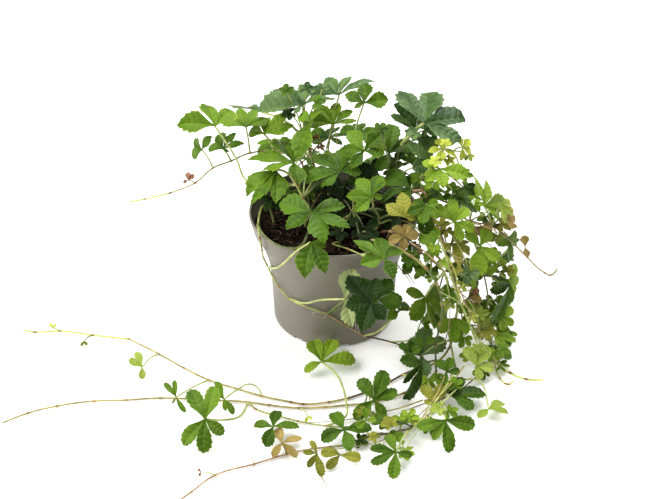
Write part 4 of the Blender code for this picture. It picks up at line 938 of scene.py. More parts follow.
def lay_out():
    """Place every leaf clear of the pot, the soil and all that was placed before it.

    A leaf that finds no clear place is left out.
    """
    stems = {name: [tube_guard(stem_points(line), STEM_RADIUS * line.girth + GUARD_MARGIN) for line in lines]
             for name, lines in VINES.items()}
    placed = {name: [] for name in VINES}
    taken = {name: [] for name in VINES}
    solid = [turned_guard(pot_outline()), turned_guard([(0.0, SOIL_TOP), (POT_RIM_RADIUS, SOIL_TOP)])]

    def settle(name, line, record, own_stems):
        start = stem_points(line)[node_index(line, record)]
        others = [shape for other in VINES if other != name for shape in stems[other] + taken[other]]
        found = place_leaf(record, start, solid + others, own_stems + taken[name])
        if found:
            placed[name].append(found[0])
            taken[name] += found[1:]

    for name, lines in VINES.items():
        for line in lines:
            for record in line.leaves:
                settle(name, line, record, stems[name])
    for name, fillers in FILLERS.items():
        for filler in fillers:
            record = filler if isinstance(filler, Leaf) else filler_leaf(*filler)
            settle(name, VINES[name][0], record, [])
    return placed


def node_index(line, record):
    """Where a leaf's node stands among stem_points, which holds one more point on a rooted strand."""
    return record.node + len(stem_points(line)) - len(line.points)


def turned_guard(outline):
    """A turned surface for the clearance search, from a profile of (radius, height) pairs."""
    points, faces = [], []
    for radius, height in outline:
        for turn in range(GUARD_SIDES):
            angle = 2 * pi * turn / GUARD_SIDES
            points.append(Vector((radius * cos(angle), radius * sin(angle), height)))
    for row in range(len(outline) - 1):
        faces += ring_faces(row * GUARD_SIDES, GUARD_SIDES)
    return shape_of(points, faces)


def foot_edge(angles):
    """The rounded edge of the pot's foot, at these angles in degrees."""
    return [(FOOT_MIDDLE + POT_EDGE_RADIUS * cos(turn), POT_EDGE_RADIUS * (1 - sin(turn)))
            for turn in map(radians, angles)]


def underside():
    """The pot's underside, from its foot ring in to the flat pad under the middle."""
    inner = FOOT_MIDDLE - FOOT_RING_WIDTH
    return [(inner, 0.0), (inner - PAD_BEVEL, FOOT_RECESS), (BASE_PAD_RADIUS + PAD_BEVEL, FOOT_RECESS),
            (BASE_PAD_RADIUS, 0.0)]


def pot_outline():
    """The pot's profile, down its outer side and across its foot to the middle of its base."""
    return [
        (POT_RIM_RADIUS, POT_HEIGHT),
        (POT_RIM_RADIUS, POT_HEIGHT - RIM_BAND),
        (POT_RIM_RADIUS - RIM_BEVEL, POT_HEIGHT - RIM_BAND - RIM_BEVEL),
        (POT_COLLAR_RADIUS, POT_COLLAR_Z + COLLAR_RISE),
        (POT_COLLAR_RADIUS - POT_COLLAR_STEP, POT_COLLAR_Z),
        *[(wall_radius(z), z) for z in POT_FLARE_Z[::-1]],
        (POT_WAIST_RADIUS, POT_WAIST_Z),
        *foot_edge((0, 45, 90)),
        *underside(),
        (0.0, 0.0),
    ]


# Thin stems, tendrils and rootlets: for each vine, the finish, the radius in mm at the thick end, the points

EXTRAS = {
    "loop_stem": [
        ("rootlet", 0.25, on_pots((320, 313, 1.5), (316, 312, 2.5), (312, 314, 3.5), (318, 318, 3))),
        ("rootlet", 0.22, on_pots((327, 314, 1.5), (324, 318, 3), (318, 317, 4))),
        ("rootlet", 0.28, on_pots((356, 331, 1.5), (355, 322, 3), (352, 314, 4))),
        ("rootlet", 0.25, on_pots((360, 334, 1.5), (358, 326, 4), (362, 320, 5))),
    ],
    "rear_shoot": [
        ("petiole", 0.55, airs((327, 166, 36), (326, 150, 36), (330, 136, 33), (332, 126, 31))),
        ("fresh_stem", 0.5, airs((334, 166, 37), (337, 150, 36), (336, 136, 33), (334, 125, 31))),
        ("petiole", 0.5, airs((330, 164, 36), (322, 146, 35), (317, 132, 30), (312, 123, 24))),
        ("petiole", 0.5, airs((309, 158, 30), (303, 148, 31), (304, 138, 31), (311, 133, 30))),
        ("rootlet", 0.35, airs((312, 156, 31), (308, 150, 33), (311, 143, 34), (318, 141, 32))),
    ],
    "right_cascade": [
        ("pink_stem", 0.55, airs((418, 193, -22), (424, 202, -26), (431, 212, -30), (440, 229, -34))),
        ("tan_stem", 0.5, airs((435, 253, -44), (441, 261, -48), (447, 269, -50))),
        ("green_stem", 0.5, airs((463, 300, -56), (470, 310, -60), (478, 319, -60))),
        ("dark_stem", 0.5, airs((450, 320, -62), (447, 334, -66), (443, 351, -68))),
        ("petiole", 0.45, airs((452, 236, -40), (462, 252, -46), (468, 268, -48), (470, 284, -52))),
        ("green_stem", 0.5, airs((440, 262, -60), (448, 288, -62), (450, 312, -66), (447, 336, -70))),
        ("petiole", 0.45, airs((455, 284, -56), (446, 276, -60), (436, 276, -62), (428, 280, -62))),
        ("petiole", 0.45, airs((461, 305, -58), (452, 300, -60), (446, 306, -62), (444, 316, -64))),
        ("green_stem", 0.45, airs((457, 290, -56), (468, 300, -58), (476, 314, -60), (480, 330, -62))),
        ("fresh_stem", 0.45, [*airs((470, 325, -60), (476, 341, -64), (488, 356, -68)), low(500, 366, 3)]),
        ("fresh_stem", 0.5, airs((447, 256, -64), (455, 272, -66), (458, 289, -68), (464, 306, -70))),
        ("green_stem", 0.7, [*airs((439, 236, -62), (447, 260, -66), (453, 282, -70), (460, 302, -74),
         (469, 323, -78), (481, 343, -80)), *lows((497, 361, 9), (514, 374, 3))]),
        ("fresh_stem", 0.4, airs((464, 284, -66), (459, 292, -68), (462, 301, -70), (471, 312, -70))),
        ("petiole", 0.4, airs((440, 292, -66), (450, 297, -68), (460, 303, -70), (466, 315, -70))),
        ("pink_stem", 0.3, airs((449, 250, -62), (456, 257, -64), (465, 259, -62), (472, 266, -62))),
        ("pink_stem", 0.3, airs((450, 266, -64), (457, 261, -66), (466, 264, -64), (470, 272, -64))),
        ("tan_stem", 0.3, airs((452, 256, -66), (459, 264, -66), (460, 272, -66), (468, 278, -64))),
        ("pink_stem", 0.5, airs((458, 286, -70), (466, 304, -74), (475, 324, -76), (486, 341, -78))),
    ],
    "dark_cascade": [
        ("pink_stem", 0.5, airs((470, 222, -20), (482, 238, -24), (494, 250, -28), (500, 266, -30))),
        ("green_stem", 0.5, airs((486, 262, -28), (494, 284, -34), (498, 306, -40), (500, 330, -46))),
        ("tan_stem", 0.5, airs((478, 300, -40), (484, 320, -46), (492, 340, -54), (500, 356, -60))),
    ],
    "rim_shoot": [
        ("pink_stem", 0.6, airs((411, 243, -58), (424, 251, -60), (436, 262, -62), (452, 272, -62))),
        ("dark_stem", 0.45, airs((395, 262, -62), (403, 272, -64), (412, 284, -64))),
        ("dark_stem", 0.45, airs((405, 270, -62), (410, 277, -64), (415, 284, -64))),
    ],
    "right_runner": [
        ("tan_stem", 0.45, airs((466, 222, -28), (486, 227, -30), (505, 237, -30), (524, 253, -26))),
        ("petiole", 0.35, airs((549, 275, -16), (553, 274, -14), (557, 271, -15), (555, 267, -17))),
    ],
    "inner_cascade": [
        ("tan_stem", 0.4, lows((254, 464, 1.8), (252, 458, 4), (250, 455, 6))),
        ("petiole", 0.6, lows((455, 372, 14), (441, 394, 17), (425, 415, 16), (409, 434, 10),
         (401, 450, 8))),
        ("tan_stem", 0.65, lows((464, 366, 12), (449, 386, 17), (430, 405, 16), (410, 424, 8))),
        ("dark_stem", 0.6, lows((478, 376, 5), (450, 396, 5), (420, 405, 4), (392, 417, 3))),
        ("tan_stem", 0.6, lows((423, 400, 4), (400, 408, 3), (378, 413, 3), (345, 420, 2), (300, 423, 2))),
        ("petiole", 0.6, lows((458, 388, 12), (441, 404, 17), (427, 420, 16), (412, 438, 9), (404, 452, 8))),
        ("tan_stem", 0.6, lows((446, 372, 12), (438, 392, 17), (428, 408, 16), (418, 424, 8))),
        ("tan_stem", 0.5, lows((400, 431, 3), (378, 442, 3), (352, 447, 3), (330, 450, 3))),
        ("node_knot", 0.6, lows((317, 470, 5), (322, 478, 3), (327, 486, 2))),
    ],
}


# Shader building

def paint(card):
    """A paint-card colour as the linear colour that a shader takes."""
    return tuple(((value / 255 + 0.055) / 1.055) ** 2.4 if value > 10 else value / 3294
                 for value in card) + (1.0,)


def new_finish(name):
    """A new material with its node tree and its shader."""
    material = bpy.data.materials.new(name)
    material.use_nodes = True
    return material, material.node_tree, material.node_tree.nodes["Principled BSDF"]


def feed(tree, socket, value):
    """Link an output to the socket, or set a plain value on it."""
    if isinstance(value, bpy.types.NodeSocket):
        tree.links.new(value, socket)
    else:
        socket.default_value = value


def calc(tree, operation, first, second=0.0):
    made = tree.nodes.new("ShaderNodeMath")
    made.operation = operation
    feed(tree, made.inputs[0], first)
    feed(tree, made.inputs[1], second)
    return made.outputs[0]


def scaled(tree, value, factor, plus):
    """A value times a factor, plus another value."""
    return calc(tree, "ADD", calc(tree, "MULTIPLY", value, factor), plus)


def eased(tree, value, start, end):
    """A smooth change from 0 at start to 1 at end, flat outside them. It falls where end is below start."""
    made = tree.nodes.new("ShaderNodeMapRange")
    made.interpolation_type = "SMOOTHSTEP"
    feed(tree, made.inputs["Value"], value)
    rises = start < end
    made.inputs["From Min"].default_value = min(start, end)
    made.inputs["From Max"].default_value = max(start, end)
    made.inputs["To Min"].default_value = 0.0 if rises else 1.0
    made.inputs["To Max"].default_value = 1.0 if rises else 0.0
    return made.outputs["Result"]


def mixed(tree, share, first, second):
    """Two colours mixed, by a share that is 0 for the first and 1 for the second."""
    made = tree.nodes.new("ShaderNodeMix")
    made.data_type = "RGBA"
    feed(tree, made.inputs[0], share)
    feed(tree, made.inputs[6], first)
    feed(tree, made.inputs[7], second)
    return made.outputs[2]


def veiled(tree, colour, card, ramp, share):
    """The colour with some of a paint-card colour over it, where the ramp is high."""
    return mixed(tree, calc(tree, "MULTIPLY", ramp, share), colour, paint(card))


def set_skin(tree, shader, colour, roughness, sheen=0.5):
    feed(tree, shader.inputs["Base Color"], colour)
    feed(tree, shader.inputs["Roughness"], roughness)
    shader.inputs["Specular IOR Level"].default_value = sheen


def mottle(tree, scale, detail=2.0, stretch=(1, 1, 1)):
    """Soft noise on the piece's own coordinates."""
    place = tree.nodes.new("ShaderNodeTexCoord")
    mapping = tree.nodes.new("ShaderNodeMapping")
    mapping.inputs["Scale"].default_value = stretch
    noise = tree.nodes.new("ShaderNodeTexNoise")
    noise.inputs["Scale"].default_value = scale
    noise.inputs["Detail"].default_value = detail
    tree.links.new(place.outputs["Object"], mapping.inputs["Vector"])
    tree.links.new(mapping.outputs["Vector"], noise.inputs["Vector"])
    return noise.outputs["Fac"]


def add_bump(tree, shader, height, strength, depth):
    made = tree.nodes.new("ShaderNodeBump")
    made.inputs["Strength"].default_value = strength
    made.inputs["Distance"].default_value = depth
    feed(tree, made.inputs["Height"], height)
    tree.links.new(made.outputs["Normal"], shader.inputs["Normal"])


def leaflet_ways(tree):
    """How far a point is from the midrib, 0 to 1, and how far along the leaflet, 0 to 1."""
    source = tree.nodes.new("ShaderNodeUVMap")
    source.uv_map = "UVMap"
    parts = tree.nodes.new("ShaderNodeSeparateXYZ")
    tree.links.new(source.outputs["UV"], parts.inputs[0])
    middle = calc(tree, "SUBTRACT", parts.outputs["X"], 0.5)
    across = calc(tree, "MULTIPLY", calc(tree, "ABSOLUTE", middle), 2.0)
    return across, parts.outputs["Y"]


def side_veins(tree, across, along):
    """How near a point is to a side vein: 1 on one and 0 midway between two. They run out into the teeth."""
    slant = calc(tree, "MULTIPLY", across, -VEIN_SLANT)
    phase = calc(tree, "ADD", calc(tree, "MULTIPLY", along, (len(ROUND_ROWS) - 1) / 2), slant)
    share = calc(tree, "FRACT", phase)
    return calc(tree, "MULTIPLY", calc(tree, "ABSOLUTE", calc(tree, "SUBTRACT", share, 0.5)), 2.0)


def leaf_top_finish(name, tone):
    """The glossy upper face of a leaf: mottled green, with paler veins, a paler toothed rim and painted
    shade towards each leaflet's base.
    """
    material, tree, shader = new_finish(name + "_leaf")
    across, along = leaflet_ways(tree)
    vein = side_veins(tree, across, along)
    shade = tree.nodes.new("ShaderNodeAttribute")
    shade.attribute_name = "shade"
    patches = scaled(tree, mottle(tree, 90.0), 0.9, shade.outputs["Fac"])
    patches = scaled(tree, mottle(tree, 300.0), 0.4, patches)
    colour = mixed(tree, eased(tree, patches, 0.65, 1.4), paint(tone.deep), paint(tone.fresh))
    colour = veiled(tree, colour, tone.vein, eased(tree, vein, 0.80, 1.0), 0.16)
    colour = veiled(tree, colour, tone.vein, eased(tree, across, 0.12, 0.03), 0.3)
    colour = veiled(tree, colour, tone.rim, eased(tree, across, 0.84, 0.98), 0.5)
    # Painted shade: each leaflet darker towards its base, where the leaflets meet at the hub
    colour = veiled(tree, colour, tone.deep, eased(tree, along, 0.4, 0.0), 0.4)
    gloss = scaled(tree, mottle(tree, 240.0), 0.16, tone.rough - 0.08)
    set_skin(tree, shader, colour, gloss, tone.sheen)
    pillow = calc(tree, "SUBTRACT", 1.0, calc(tree, "POWER", vein, 2.0))
    add_bump(tree, shader, scaled(tree, mottle(tree, 380.0, 3.0), 2.2, pillow), 0.45, 0.6 * MM)
    return material


def leaf_under_finish(name, tone):
    """The pale, dull lower face of a leaf."""
    material, tree, shader = new_finish(name + "_underside")
    across, along = leaflet_ways(tree)
    vein = side_veins(tree, across, along)
    patches = mixed(tree, mottle(tree, 160.0), paint(tone.under), paint(tone.fresh))
    colour = veiled(tree, patches, tone.vein, eased(tree, vein, 0.72, 1.0), 0.5)
    set_skin(tree, shader, colour, 0.7, UNDER_SHEEN)
    add_bump(tree, shader, vein, 0.5, 0.3 * MM)
    return material


def stem_finish(name, colours):
    """Stem skin: fine streaks between two colours, slightly ridged."""
    material, tree, shader = new_finish(name)
    streaks = scaled(tree, mottle(tree, 55.0), 0.8, mottle(tree, 260.0, 3.0))
    colour = mixed(tree, eased(tree, streaks, 0.65, 1.15), paint(colours[0]), paint(colours[1]))
    set_skin(tree, shader, colour, 0.5)
    add_bump(tree, shader, mottle(tree, 1300.0, 2.0), 0.4, 0.2 * MM)
    return material


def pot_finish():
    """Satin taupe plastic with a faint bloom and fine moulding marks round the wall."""
    material, tree, shader = new_finish("taupe_plastic")
    cloud = scaled(tree, mottle(tree, 420.0, 2.0), 0.25, mottle(tree, 26.0, 4.0))
    colour = mixed(tree, eased(tree, cloud, 0.35, 0.95), paint(POT_DARK), paint(POT_PALE))
    set_skin(tree, shader, colour, scaled(tree, mottle(tree, 70.0, 4.0), 0.18, 0.42), 0.45)
    rings = calc(tree, "MULTIPLY", mottle(tree, 22.0, 1.0, stretch=(0.4, 0.4, 60.0)), 0.5)
    add_bump(tree, shader, scaled(tree, mottle(tree, 1500.0), 0.6, rings), 0.25, 0.15 * MM)
    return material


def peat_finish():
    """Dark moist peat, mottled with patches that are almost black."""
    material, tree, shader = new_finish("peat")
    patches = eased(tree, mottle(tree, 480.0, 6.0), 0.42, 0.70)
    set_skin(tree, shader, mixed(tree, patches, paint(PEAT_DARK), paint(PEAT_PALE)), 0.95, 0.1)
    add_bump(tree, shader, mottle(tree, 700.0, 6.0), 0.9, 0.8 * MM)
    return material


def fibre_finish():
    material, tree, shader = new_finish("peat_fibre")
    patches = eased(tree, mottle(tree, 150.0), 0.35, 0.65)
    set_skin(tree, shader, mixed(tree, patches, paint(FIBRE_DARK), paint(FIBRE_PALE)), 0.75)
    add_bump(tree, shader, mottle(tree, 2000.0), 0.4, 0.1 * MM)
    return material


# Working with Blender's tools

def select_only(*pieces):
    """Select these pieces alone, the first one active."""
    bpy.ops.object.select_all(action="DESELECT")
    for piece in pieces:
        piece.select_set(True)
    bpy.context.view_layer.objects.active = pieces[0]


def pick_points(piece, wanted, among_picked=False):
    """In edit mode, pick the points that wanted accepts, of all of them or of those already picked."""
    work = bmesh.from_edit_mesh(piece.data)
    for point in work.verts:
        point.select = (point.select or not among_picked) and wanted(point.co)
    work.select_flush_mode()
    bmesh.update_edit_mesh(piece.data)


def join_pieces(pieces, name):
    select_only(*pieces)
    bpy.ops.object.join()
    joined = bpy.context.object
    joined.name = name
    joined.data.name = name
    return joined


def apply_all(piece):
    select_only(piece)
    for modifier in list(piece.modifiers):
        bpy.ops.object.modifier_apply(modifier=modifier.name)


def smooth(piece):
    select_only(piece)
    bpy.ops.object.shade_smooth_by_angle(angle=SMOOTH_ANGLE)


def added(operator, **settings):
    """The piece that a primitive operator adds, selected alone."""
    bpy.ops.object.select_all(action="DESELECT")
    operator(**settings)
    return bpy.context.object


def linked_copy(pattern):
    """A copy of the pattern with a mesh of its own."""
    piece = pattern.copy()
    piece.data = pattern.data.copy()
    bpy.context.scene.collection.objects.link(piece)
    return piece


def places_of(piece):
    """The places of a mesh's points, a row for each."""
    flat = np.zeros(len(piece.data.vertices) * 3)
    piece.data.vertices.foreach_get("co", flat)
    return flat.reshape(-1, 3)


# Leaves: a toothed leaflet, round or pointed, is copied and laid out over every leaf

def leaflet_pattern(name, outline, finishes):
    """One flat leaflet, a unit long and two units wide: a grid whose rows are set out from base to tip.

    The grid starts far away, so that no row is picked again once it is set out.
    """
    rows = len(outline) - 1
    pattern = added(bpy.ops.mesh.primitive_grid_add, x_subdivisions=LEAFLET_COLUMNS, y_subdivisions=rows,
                    size=2, location=(0, PATTERN_AWAY, 0))
    pattern.name = name
    bpy.ops.object.transform_apply()
    bpy.ops.object.mode_set(mode="EDIT")
    for number, (along, edge_along, half) in enumerate(outline):
        row = PATTERN_AWAY - 1 + 2 * number / rows
        pick_points(pattern, lambda place: abs(place.y - row) < ROW_REACH)
        bpy.ops.transform.translate(value=(0, along - row, 0))
        bpy.ops.transform.resize(value=(half, 1, 1), center_override=(0, along, 0))
        pick_points(pattern, lambda place: abs(place.x) > EDGE_SHARE * half, among_picked=True)
        bpy.ops.transform.translate(value=(0, edge_along - along, 0))
    bpy.ops.object.mode_set(mode="OBJECT")
    pattern.data.attributes.new("shade", "FLOAT", "POINT")
    for finish in finishes:
        pattern.data.materials.append(finish)
    return pattern


def half_width(gap, leaf_width):
    """A leaflet's half width as a share of its length, less where its neighbour stands close."""
    return min(LEAFLET_HALF_WIDTH * leaf_width, LEAFLET_OVERLAP * tan(min(gap / 2, WIDEST_ROOM)))


def laid_out(across, along, grown, number, habit):
    """Where points of the flat leaflet stand on leaflet number of a grown leaf."""
    arm = grown.arms[number][1]
    gap_before, gap_after = gaps_beside(grown.arms, number)
    reach = arm.length
    side = arm.cross(grown.facing).normalized()
    narrow = grown.leaf.width * (GREY_BREADTH if grown.leaf.tone == "grey" else 1.0)
    width = reach * np.where(across > 0, half_width(gap_before or 2 * pi, narrow),
                             half_width(gap_after or 2 * pi, narrow))
    out = across * width + habit.sway * reach * along ** 2
    far = abs(across)
    lift = width * (PILLOW_RISE * far - PILLOW_FALL * far ** 2)
    lift += across * width * (habit.roll + habit.twist * along)
    waves = np.sin(RIPPLE_WAVES * along + habit.phase + RIPPLE_SLANT * across)
    lift += reach * RIPPLE_HEIGHT * habit.ripple * far ** 2 * waves
    lift -= grown.leaf.droop * longest_arm(grown) * along ** 2
    lift -= reach * TIP_CURL * habit.curl * np.clip(along - CURL_START, 0, 1) ** 2
    return np.array(grown.hub) + np.outer(along, arm) + np.outer(out, side) + np.outer(lift, grown.facing)


def longest_arm(grown):
    return max(arm.length for _, arm in grown.arms)


def leaflet_copy(pattern, places, tone, shade):
    """A copy of the flat leaflet, in place and in its tone."""
    piece = linked_copy(pattern)
    piece.data.vertices.foreach_set("co", places.ravel())
    slot = 2 * TONE_ORDER.index(tone)
    piece.data.polygons.foreach_set("material_index", [slot] * len(piece.data.polygons))
    piece.data.attributes["shade"].data.foreach_set("value", [shade] * len(places))
    return piece


def blades(name, grown_leaves, pattern):
    """All the leaflets of a vine as one thin solid piece, with the midribs' points of each."""
    across, along, _ = places_of(pattern).T
    rib_along = np.array(RIB_STATIONS)
    pieces, ribs = [], []
    for leaf_number, grown in enumerate(grown_leaves):
        draw = Random(f"{name} {leaf_number}")
        leaf_shade = draw.uniform(*LEAF_SHADES)
        for number, (_, arm) in enumerate(grown.arms):
            habit = Habit(*(draw.uniform(*span) for span in HABIT_RANGES))
            places = laid_out(across, along, grown, number, habit)
            pieces.append(leaflet_copy(pattern, places, grown.leaf.tone, leaf_shade + habit.shade))
            rib = laid_out(0 * rib_along, rib_along, grown, number, habit)
            rib -= np.array(grown.facing) * RIB_SINK
            ribs.append(([Vector(place) for place in rib], arm.length))
    joined = join_pieces(pieces, name + "_blades")
    skin = joined.modifiers.new("skin", "SOLIDIFY")
    skin.thickness = LEAF_SKIN
    skin.offset = 0.0
    skin.material_offset = 1
    apply_all(joined)
    return joined, ribs


# Stems, petioles, ribs, nodes, tendrils and rootlets, all round twigs of one curve

def twig_curve(name, finishes, roundness=1, steps=4):
    """An empty curve for round twigs, each as thick as the radii of its points say."""
    curve = bpy.data.curves.new(name, "CURVE")
    curve.dimensions = "3D"
    curve.bevel_depth = 1.0
    curve.bevel_resolution = roundness
    curve.resolution_u = steps
    curve.use_fill_caps = True
    for finish in finishes:
        curve.materials.append(finish)
    piece = bpy.data.objects.new(name, curve)
    bpy.context.scene.collection.objects.link(piece)
    return piece


def add_twig(piece, points, radii, slot=0):
    """One smooth round twig through the points."""
    twig = piece.data.splines.new("BEZIER")
    twig.bezier_points.add(len(points) - 1)
    for bead, place, radius in zip(twig.bezier_points, points, radii):
        bead.co = place
        bead.radius = radius
    for bead in twig.bezier_points:
        bead.handle_left_type = "AUTO"
        bead.handle_right_type = "AUTO"
    twig.material_index = slot


def as_mesh(piece):
    select_only(piece)
    bpy.ops.object.convert(target="MESH")
    return bpy.context.object


def stem_twigs(piece, line, stretches):
    """A stem in its finishes, with a swollen node at each of its inner points."""
    points = stem_points(line)
    last = len(points) - 1
    radii = [stem_radius(line, number / last) * STEM_SLIMNESS for number in range(last + 1)]
    ends = [start for start, _ in stretches[1:]] + [last]
    for (start, finish), end in zip(stretches, ends):
        if start < end:
            add_twig(piece, points[start:end + 1], radii[start:end + 1], STEM_SLOTS[finish])
    for number in range(2 if line.rooted else 1, last):
        way = (points[number + 1] - points[number - 1]).normalized() * NODE_LENGTH
        node = [points[number] - way, points[number], points[number] + way]
        swelling = [radii[number] * share for share in (NODE_END, NODE_SWELLING, NODE_END)]
        add_twig(piece, node, swelling, STEM_SLOTS["node_knot"])


def petiole_twig(piece, grown):
    """A leaf's stalk, thicker under a larger leaf and swollen where it leaves the stem."""
    least, more = PETIOLE_STOUTNESS
    stout = PETIOLE_RADIUS * (least + more * longest_arm(grown) / LONGEST_LEAFLET)
    radii = [stout * PETIOLE_FOOT] + [stout] * (len(grown.petiole) - 1)
    # Stalks of darker leaves take the "shaded_petiole" colour, painted shade inside the crown
    finish = "shaded_petiole" if grown.leaf.tone in SHADED_TONES else "petiole"
    add_twig(piece, grown.petiole, radii, STEM_SLOTS[finish])


def rib_twig(piece, places, reach):
    least, more = RIB_STOUTNESS
    stout = RIB_RADIUS * (least + more * reach / LONGEST_LEAFLET)
    add_twig(piece, places, [stout * share for share in RIB_TAPER], STEM_SLOTS["rib"])


def twigs(name, grown_leaves, ribs, finishes):
    """All the round parts of a vine as one piece."""
    piece = twig_curve(name + "_twigs", finishes)
    for line in VINES[name]:
        stem_twigs(piece, line, STEM_STRETCHES.get(name, GREEN_ALONG) if line.rooted else GREEN_ALONG)
    for grown in grown_leaves:
        petiole_twig(piece, grown)
    for places, reach in ribs:
        rib_twig(piece, places, reach)
    for finish, radius, places in EXTRAS.get(name, ()):
        last = len(places) - 1
        radii = [radius * MM * (1 - TWIG_TAPER * number / last) for number in range(last + 1)]
        add_twig(piece, places, radii, STEM_SLOTS[finish])
    return as_mesh(piece)


def dress_vine(name, grown_leaves, pattern, stem_finishes):
    """One leafy stem, finished, in place of its solid."""
    blade_piece, ribs = blades(name, grown_leaves, pattern)
    twig_piece = twigs(name, grown_leaves, ribs, stem_finishes)
    vine = join_pieces([blade_piece, twig_piece], name + "_foliage")
    bpy.ops.object.material_slot_remove_unused()
    smooth(vine)
    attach(vine, "root")
    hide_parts(name)


# The pot and its peat

def turned_piece(name, outline, sides):
    """A closed turned piece: a ring carried along the outline of (radius, height) pairs, its ends closed."""
    piece = added(bpy.ops.mesh.primitive_circle_add, vertices=sides, radius=outline[0][0],
                  location=(0, 0, outline[0][1]))
    piece.name = name
    piece.data.name = name
    bpy.ops.object.transform_apply()
    bpy.ops.object.mode_set(mode="EDIT")
    bpy.ops.mesh.select_all(action="SELECT")
    bpy.ops.mesh.extrude_edges_move()
    bpy.ops.mesh.merge(type="CENTER")
    pick_points(piece, lambda place: Vector((place.x, place.y)).length > outline[0][0] * 0.5)
    for (radius, height), (next_radius, next_height) in zip(outline, outline[1:]):
        bpy.ops.mesh.extrude_edges_move(TRANSFORM_OT_translate={"value": (0, 0, next_height - height)})
        share = next_radius / radius
        bpy.ops.transform.resize(value=(share, share, 1), center_override=(0, 0, next_height))
    bpy.ops.mesh.extrude_edges_move()
    bpy.ops.mesh.merge(type="CENTER")
    bpy.ops.mesh.select_all(action="SELECT")
    bpy.ops.mesh.normals_make_consistent(inside=False)
    bpy.ops.object.mode_set(mode="OBJECT")
    return piece


def rounded_lip():
    """The pot's rim, from its outer side over the top to its inner side."""
    out, up = POT_RIM_RADIUS - LIP_RADIUS, POT_HEIGHT - LIP_RADIUS
    turns = [radians(angle) for angle in range(0, 181, 30)]
    return [(out + LIP_RADIUS * cos(turn), up + LIP_RADIUS * sin(turn)) for turn in turns]


def fine_pot_outline():
    """The pot's whole profile, from under its base up the outside, over the lip and down to its floor."""
    base = [(AXIS_HOLE, 0.0), *underside()[::-1], *foot_edge(range(90, -1, -15))]
    body_top = POT_COLLAR_RADIUS - POT_COLLAR_STEP
    steps = range(1, WALL_ROWS)
    rise = [POT_EDGE_RADIUS + (POT_COLLAR_Z - POT_EDGE_RADIUS) * number / WALL_ROWS for number in steps]
    collar = [(body_top - COLLAR_BLEND, POT_COLLAR_Z - 2 * COLLAR_BLEND),
              (body_top + COLLAR_BLEND, POT_COLLAR_Z + COLLAR_BLEND),
              (POT_COLLAR_RADIUS - COLLAR_BLEND, POT_COLLAR_Z + 3 * COLLAR_BLEND),
              (POT_COLLAR_RADIUS, POT_COLLAR_Z + POT_COLLAR_STEP),
              (wall_radius(POT_BAND_Z), POT_BAND_Z)]
    inside = [(POT_RIM_RADIUS - POT_WALL, POT_HEIGHT - LIP_DEPTH), (body_top - POT_WALL, POT_COLLAR_Z)]
    inside += [(wall_radius(z) - POT_WALL, z) for z in rise[::-1]
               if POT_WAIST_Z <= z < POT_COLLAR_Z - INNER_ROWS_STOP]
    inside += [(POT_FOOT_RADIUS - POT_WALL, POT_FLOOR + FLOOR_CORNER_HEIGHT),
               (POT_FOOT_RADIUS - POT_WALL - FLOOR_CORNER_WIDTH, POT_FLOOR), (AXIS_HOLE, POT_FLOOR)]
    return base + [(wall_radius(z), z) for z in rise] + collar + rounded_lip() + inside


def drain_cutter():
    """Blocks that cut the drain slots through the foot, as one piece."""
    blocks = []
    reach = POT_FOOT_RADIUS - DRAIN_SLOT_INSET
    for number in range(DRAIN_SLOTS):
        angle = FIRST_SLOT_ANGLE + 2 * pi * number / DRAIN_SLOTS
        blocks.append(added(bpy.ops.mesh.primitive_cube_add, size=1, rotation=(0, 0, angle),
                            location=(reach * cos(angle), reach * sin(angle), 0.0),
                            scale=(DRAIN_SLOT_LENGTH, DRAIN_SLOT_WIDTH, 2 * DRAIN_SLOT_HEIGHT)))
    return join_pieces(blocks, "drain_cutter")


def cut_with(piece, cutter):
    cut = piece.modifiers.new("cut", "BOOLEAN")
    cut.operation = "DIFFERENCE"
    cut.solver = "EXACT"
    cut.object = cutter
    apply_all(piece)
    bpy.data.objects.remove(cutter)


def make_pot():
    """The nursery pot: a tapered wall with a stepped collar, a rounded lip and drain slots in its foot."""
    pot = turned_piece("nursery_pot", fine_pot_outline(), POT_SIDES)
    cut_with(pot, drain_cutter())
    pot.data.materials.clear()
    pot.data.materials.append(pot_finish())
    smooth(pot)
    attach(pot, "root")
    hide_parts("pot")


def warped_wave(one, other, wave):
    """A wave along one way, bent by a second one across it."""
    rate, bend, bend_rate = wave
    return np.sin(one * rate + bend * np.sin(other * bend_rate))


def peat_relief(x, y):
    """The soil's lumps: those of its solid, with finer ones on them."""
    waves = [share * np.sin(x * along_x + y * along_y + start)
             for along_x, along_y, start, share in SOIL_WAVES]
    fine = warped_wave(x, y, FINE_WAVES[0]) * warped_wave(y, x, FINE_WAVES[1])
    return SOIL_RELIEF * (sum(waves) + FINE_RELIEF * fine)


def peat_body():
    """The plug of peat, with a lumpy top."""
    rings = [(SOIL_RADIUS * (1 - ring / PEAT_RINGS) + PEAT_BRIM, SOIL_TOP)
             for ring in range(PEAT_RINGS + 1)]
    low_z = POT_FLOOR + PEAT_GAP
    foot = [(AXIS_HOLE, low_z), (POT_FOOT_RADIUS - PEAT_FOOT_INSETS[0], low_z),
            (POT_FOOT_RADIUS - PEAT_FOOT_INSETS[1], POT_FLOOR + FLOOR_CORNER_HEIGHT)]
    wall = [(wall_radius(z) - POT_WALL - PEAT_GAP, z) for z in (POT_WAIST_Z, *POT_FLARE_Z)]
    shoulder = [(SOIL_RADIUS - PEAT_SHOULDER[0], SOIL_TOP - PEAT_SHOULDER[1])]
    body = turned_piece("peat", foot + wall + shoulder + rings, POT_SIDES)
    places = places_of(body)
    top = places[:, 2] > SOIL_TOP - PEAT_TOP_REACH
    places[top, 2] += peat_relief(places[top, 0], places[top, 1])
    body.data.vertices.foreach_set("co", places.ravel())
    return body


def drawn_place(draw, reach):
    """A place on the peat within reach of the pot's axis, all places alike likely."""
    angle = draw.uniform(0, 2 * pi)
    radius = reach * draw.random() ** 0.5
    return Vector((radius * cos(angle), radius * sin(angle), 0))


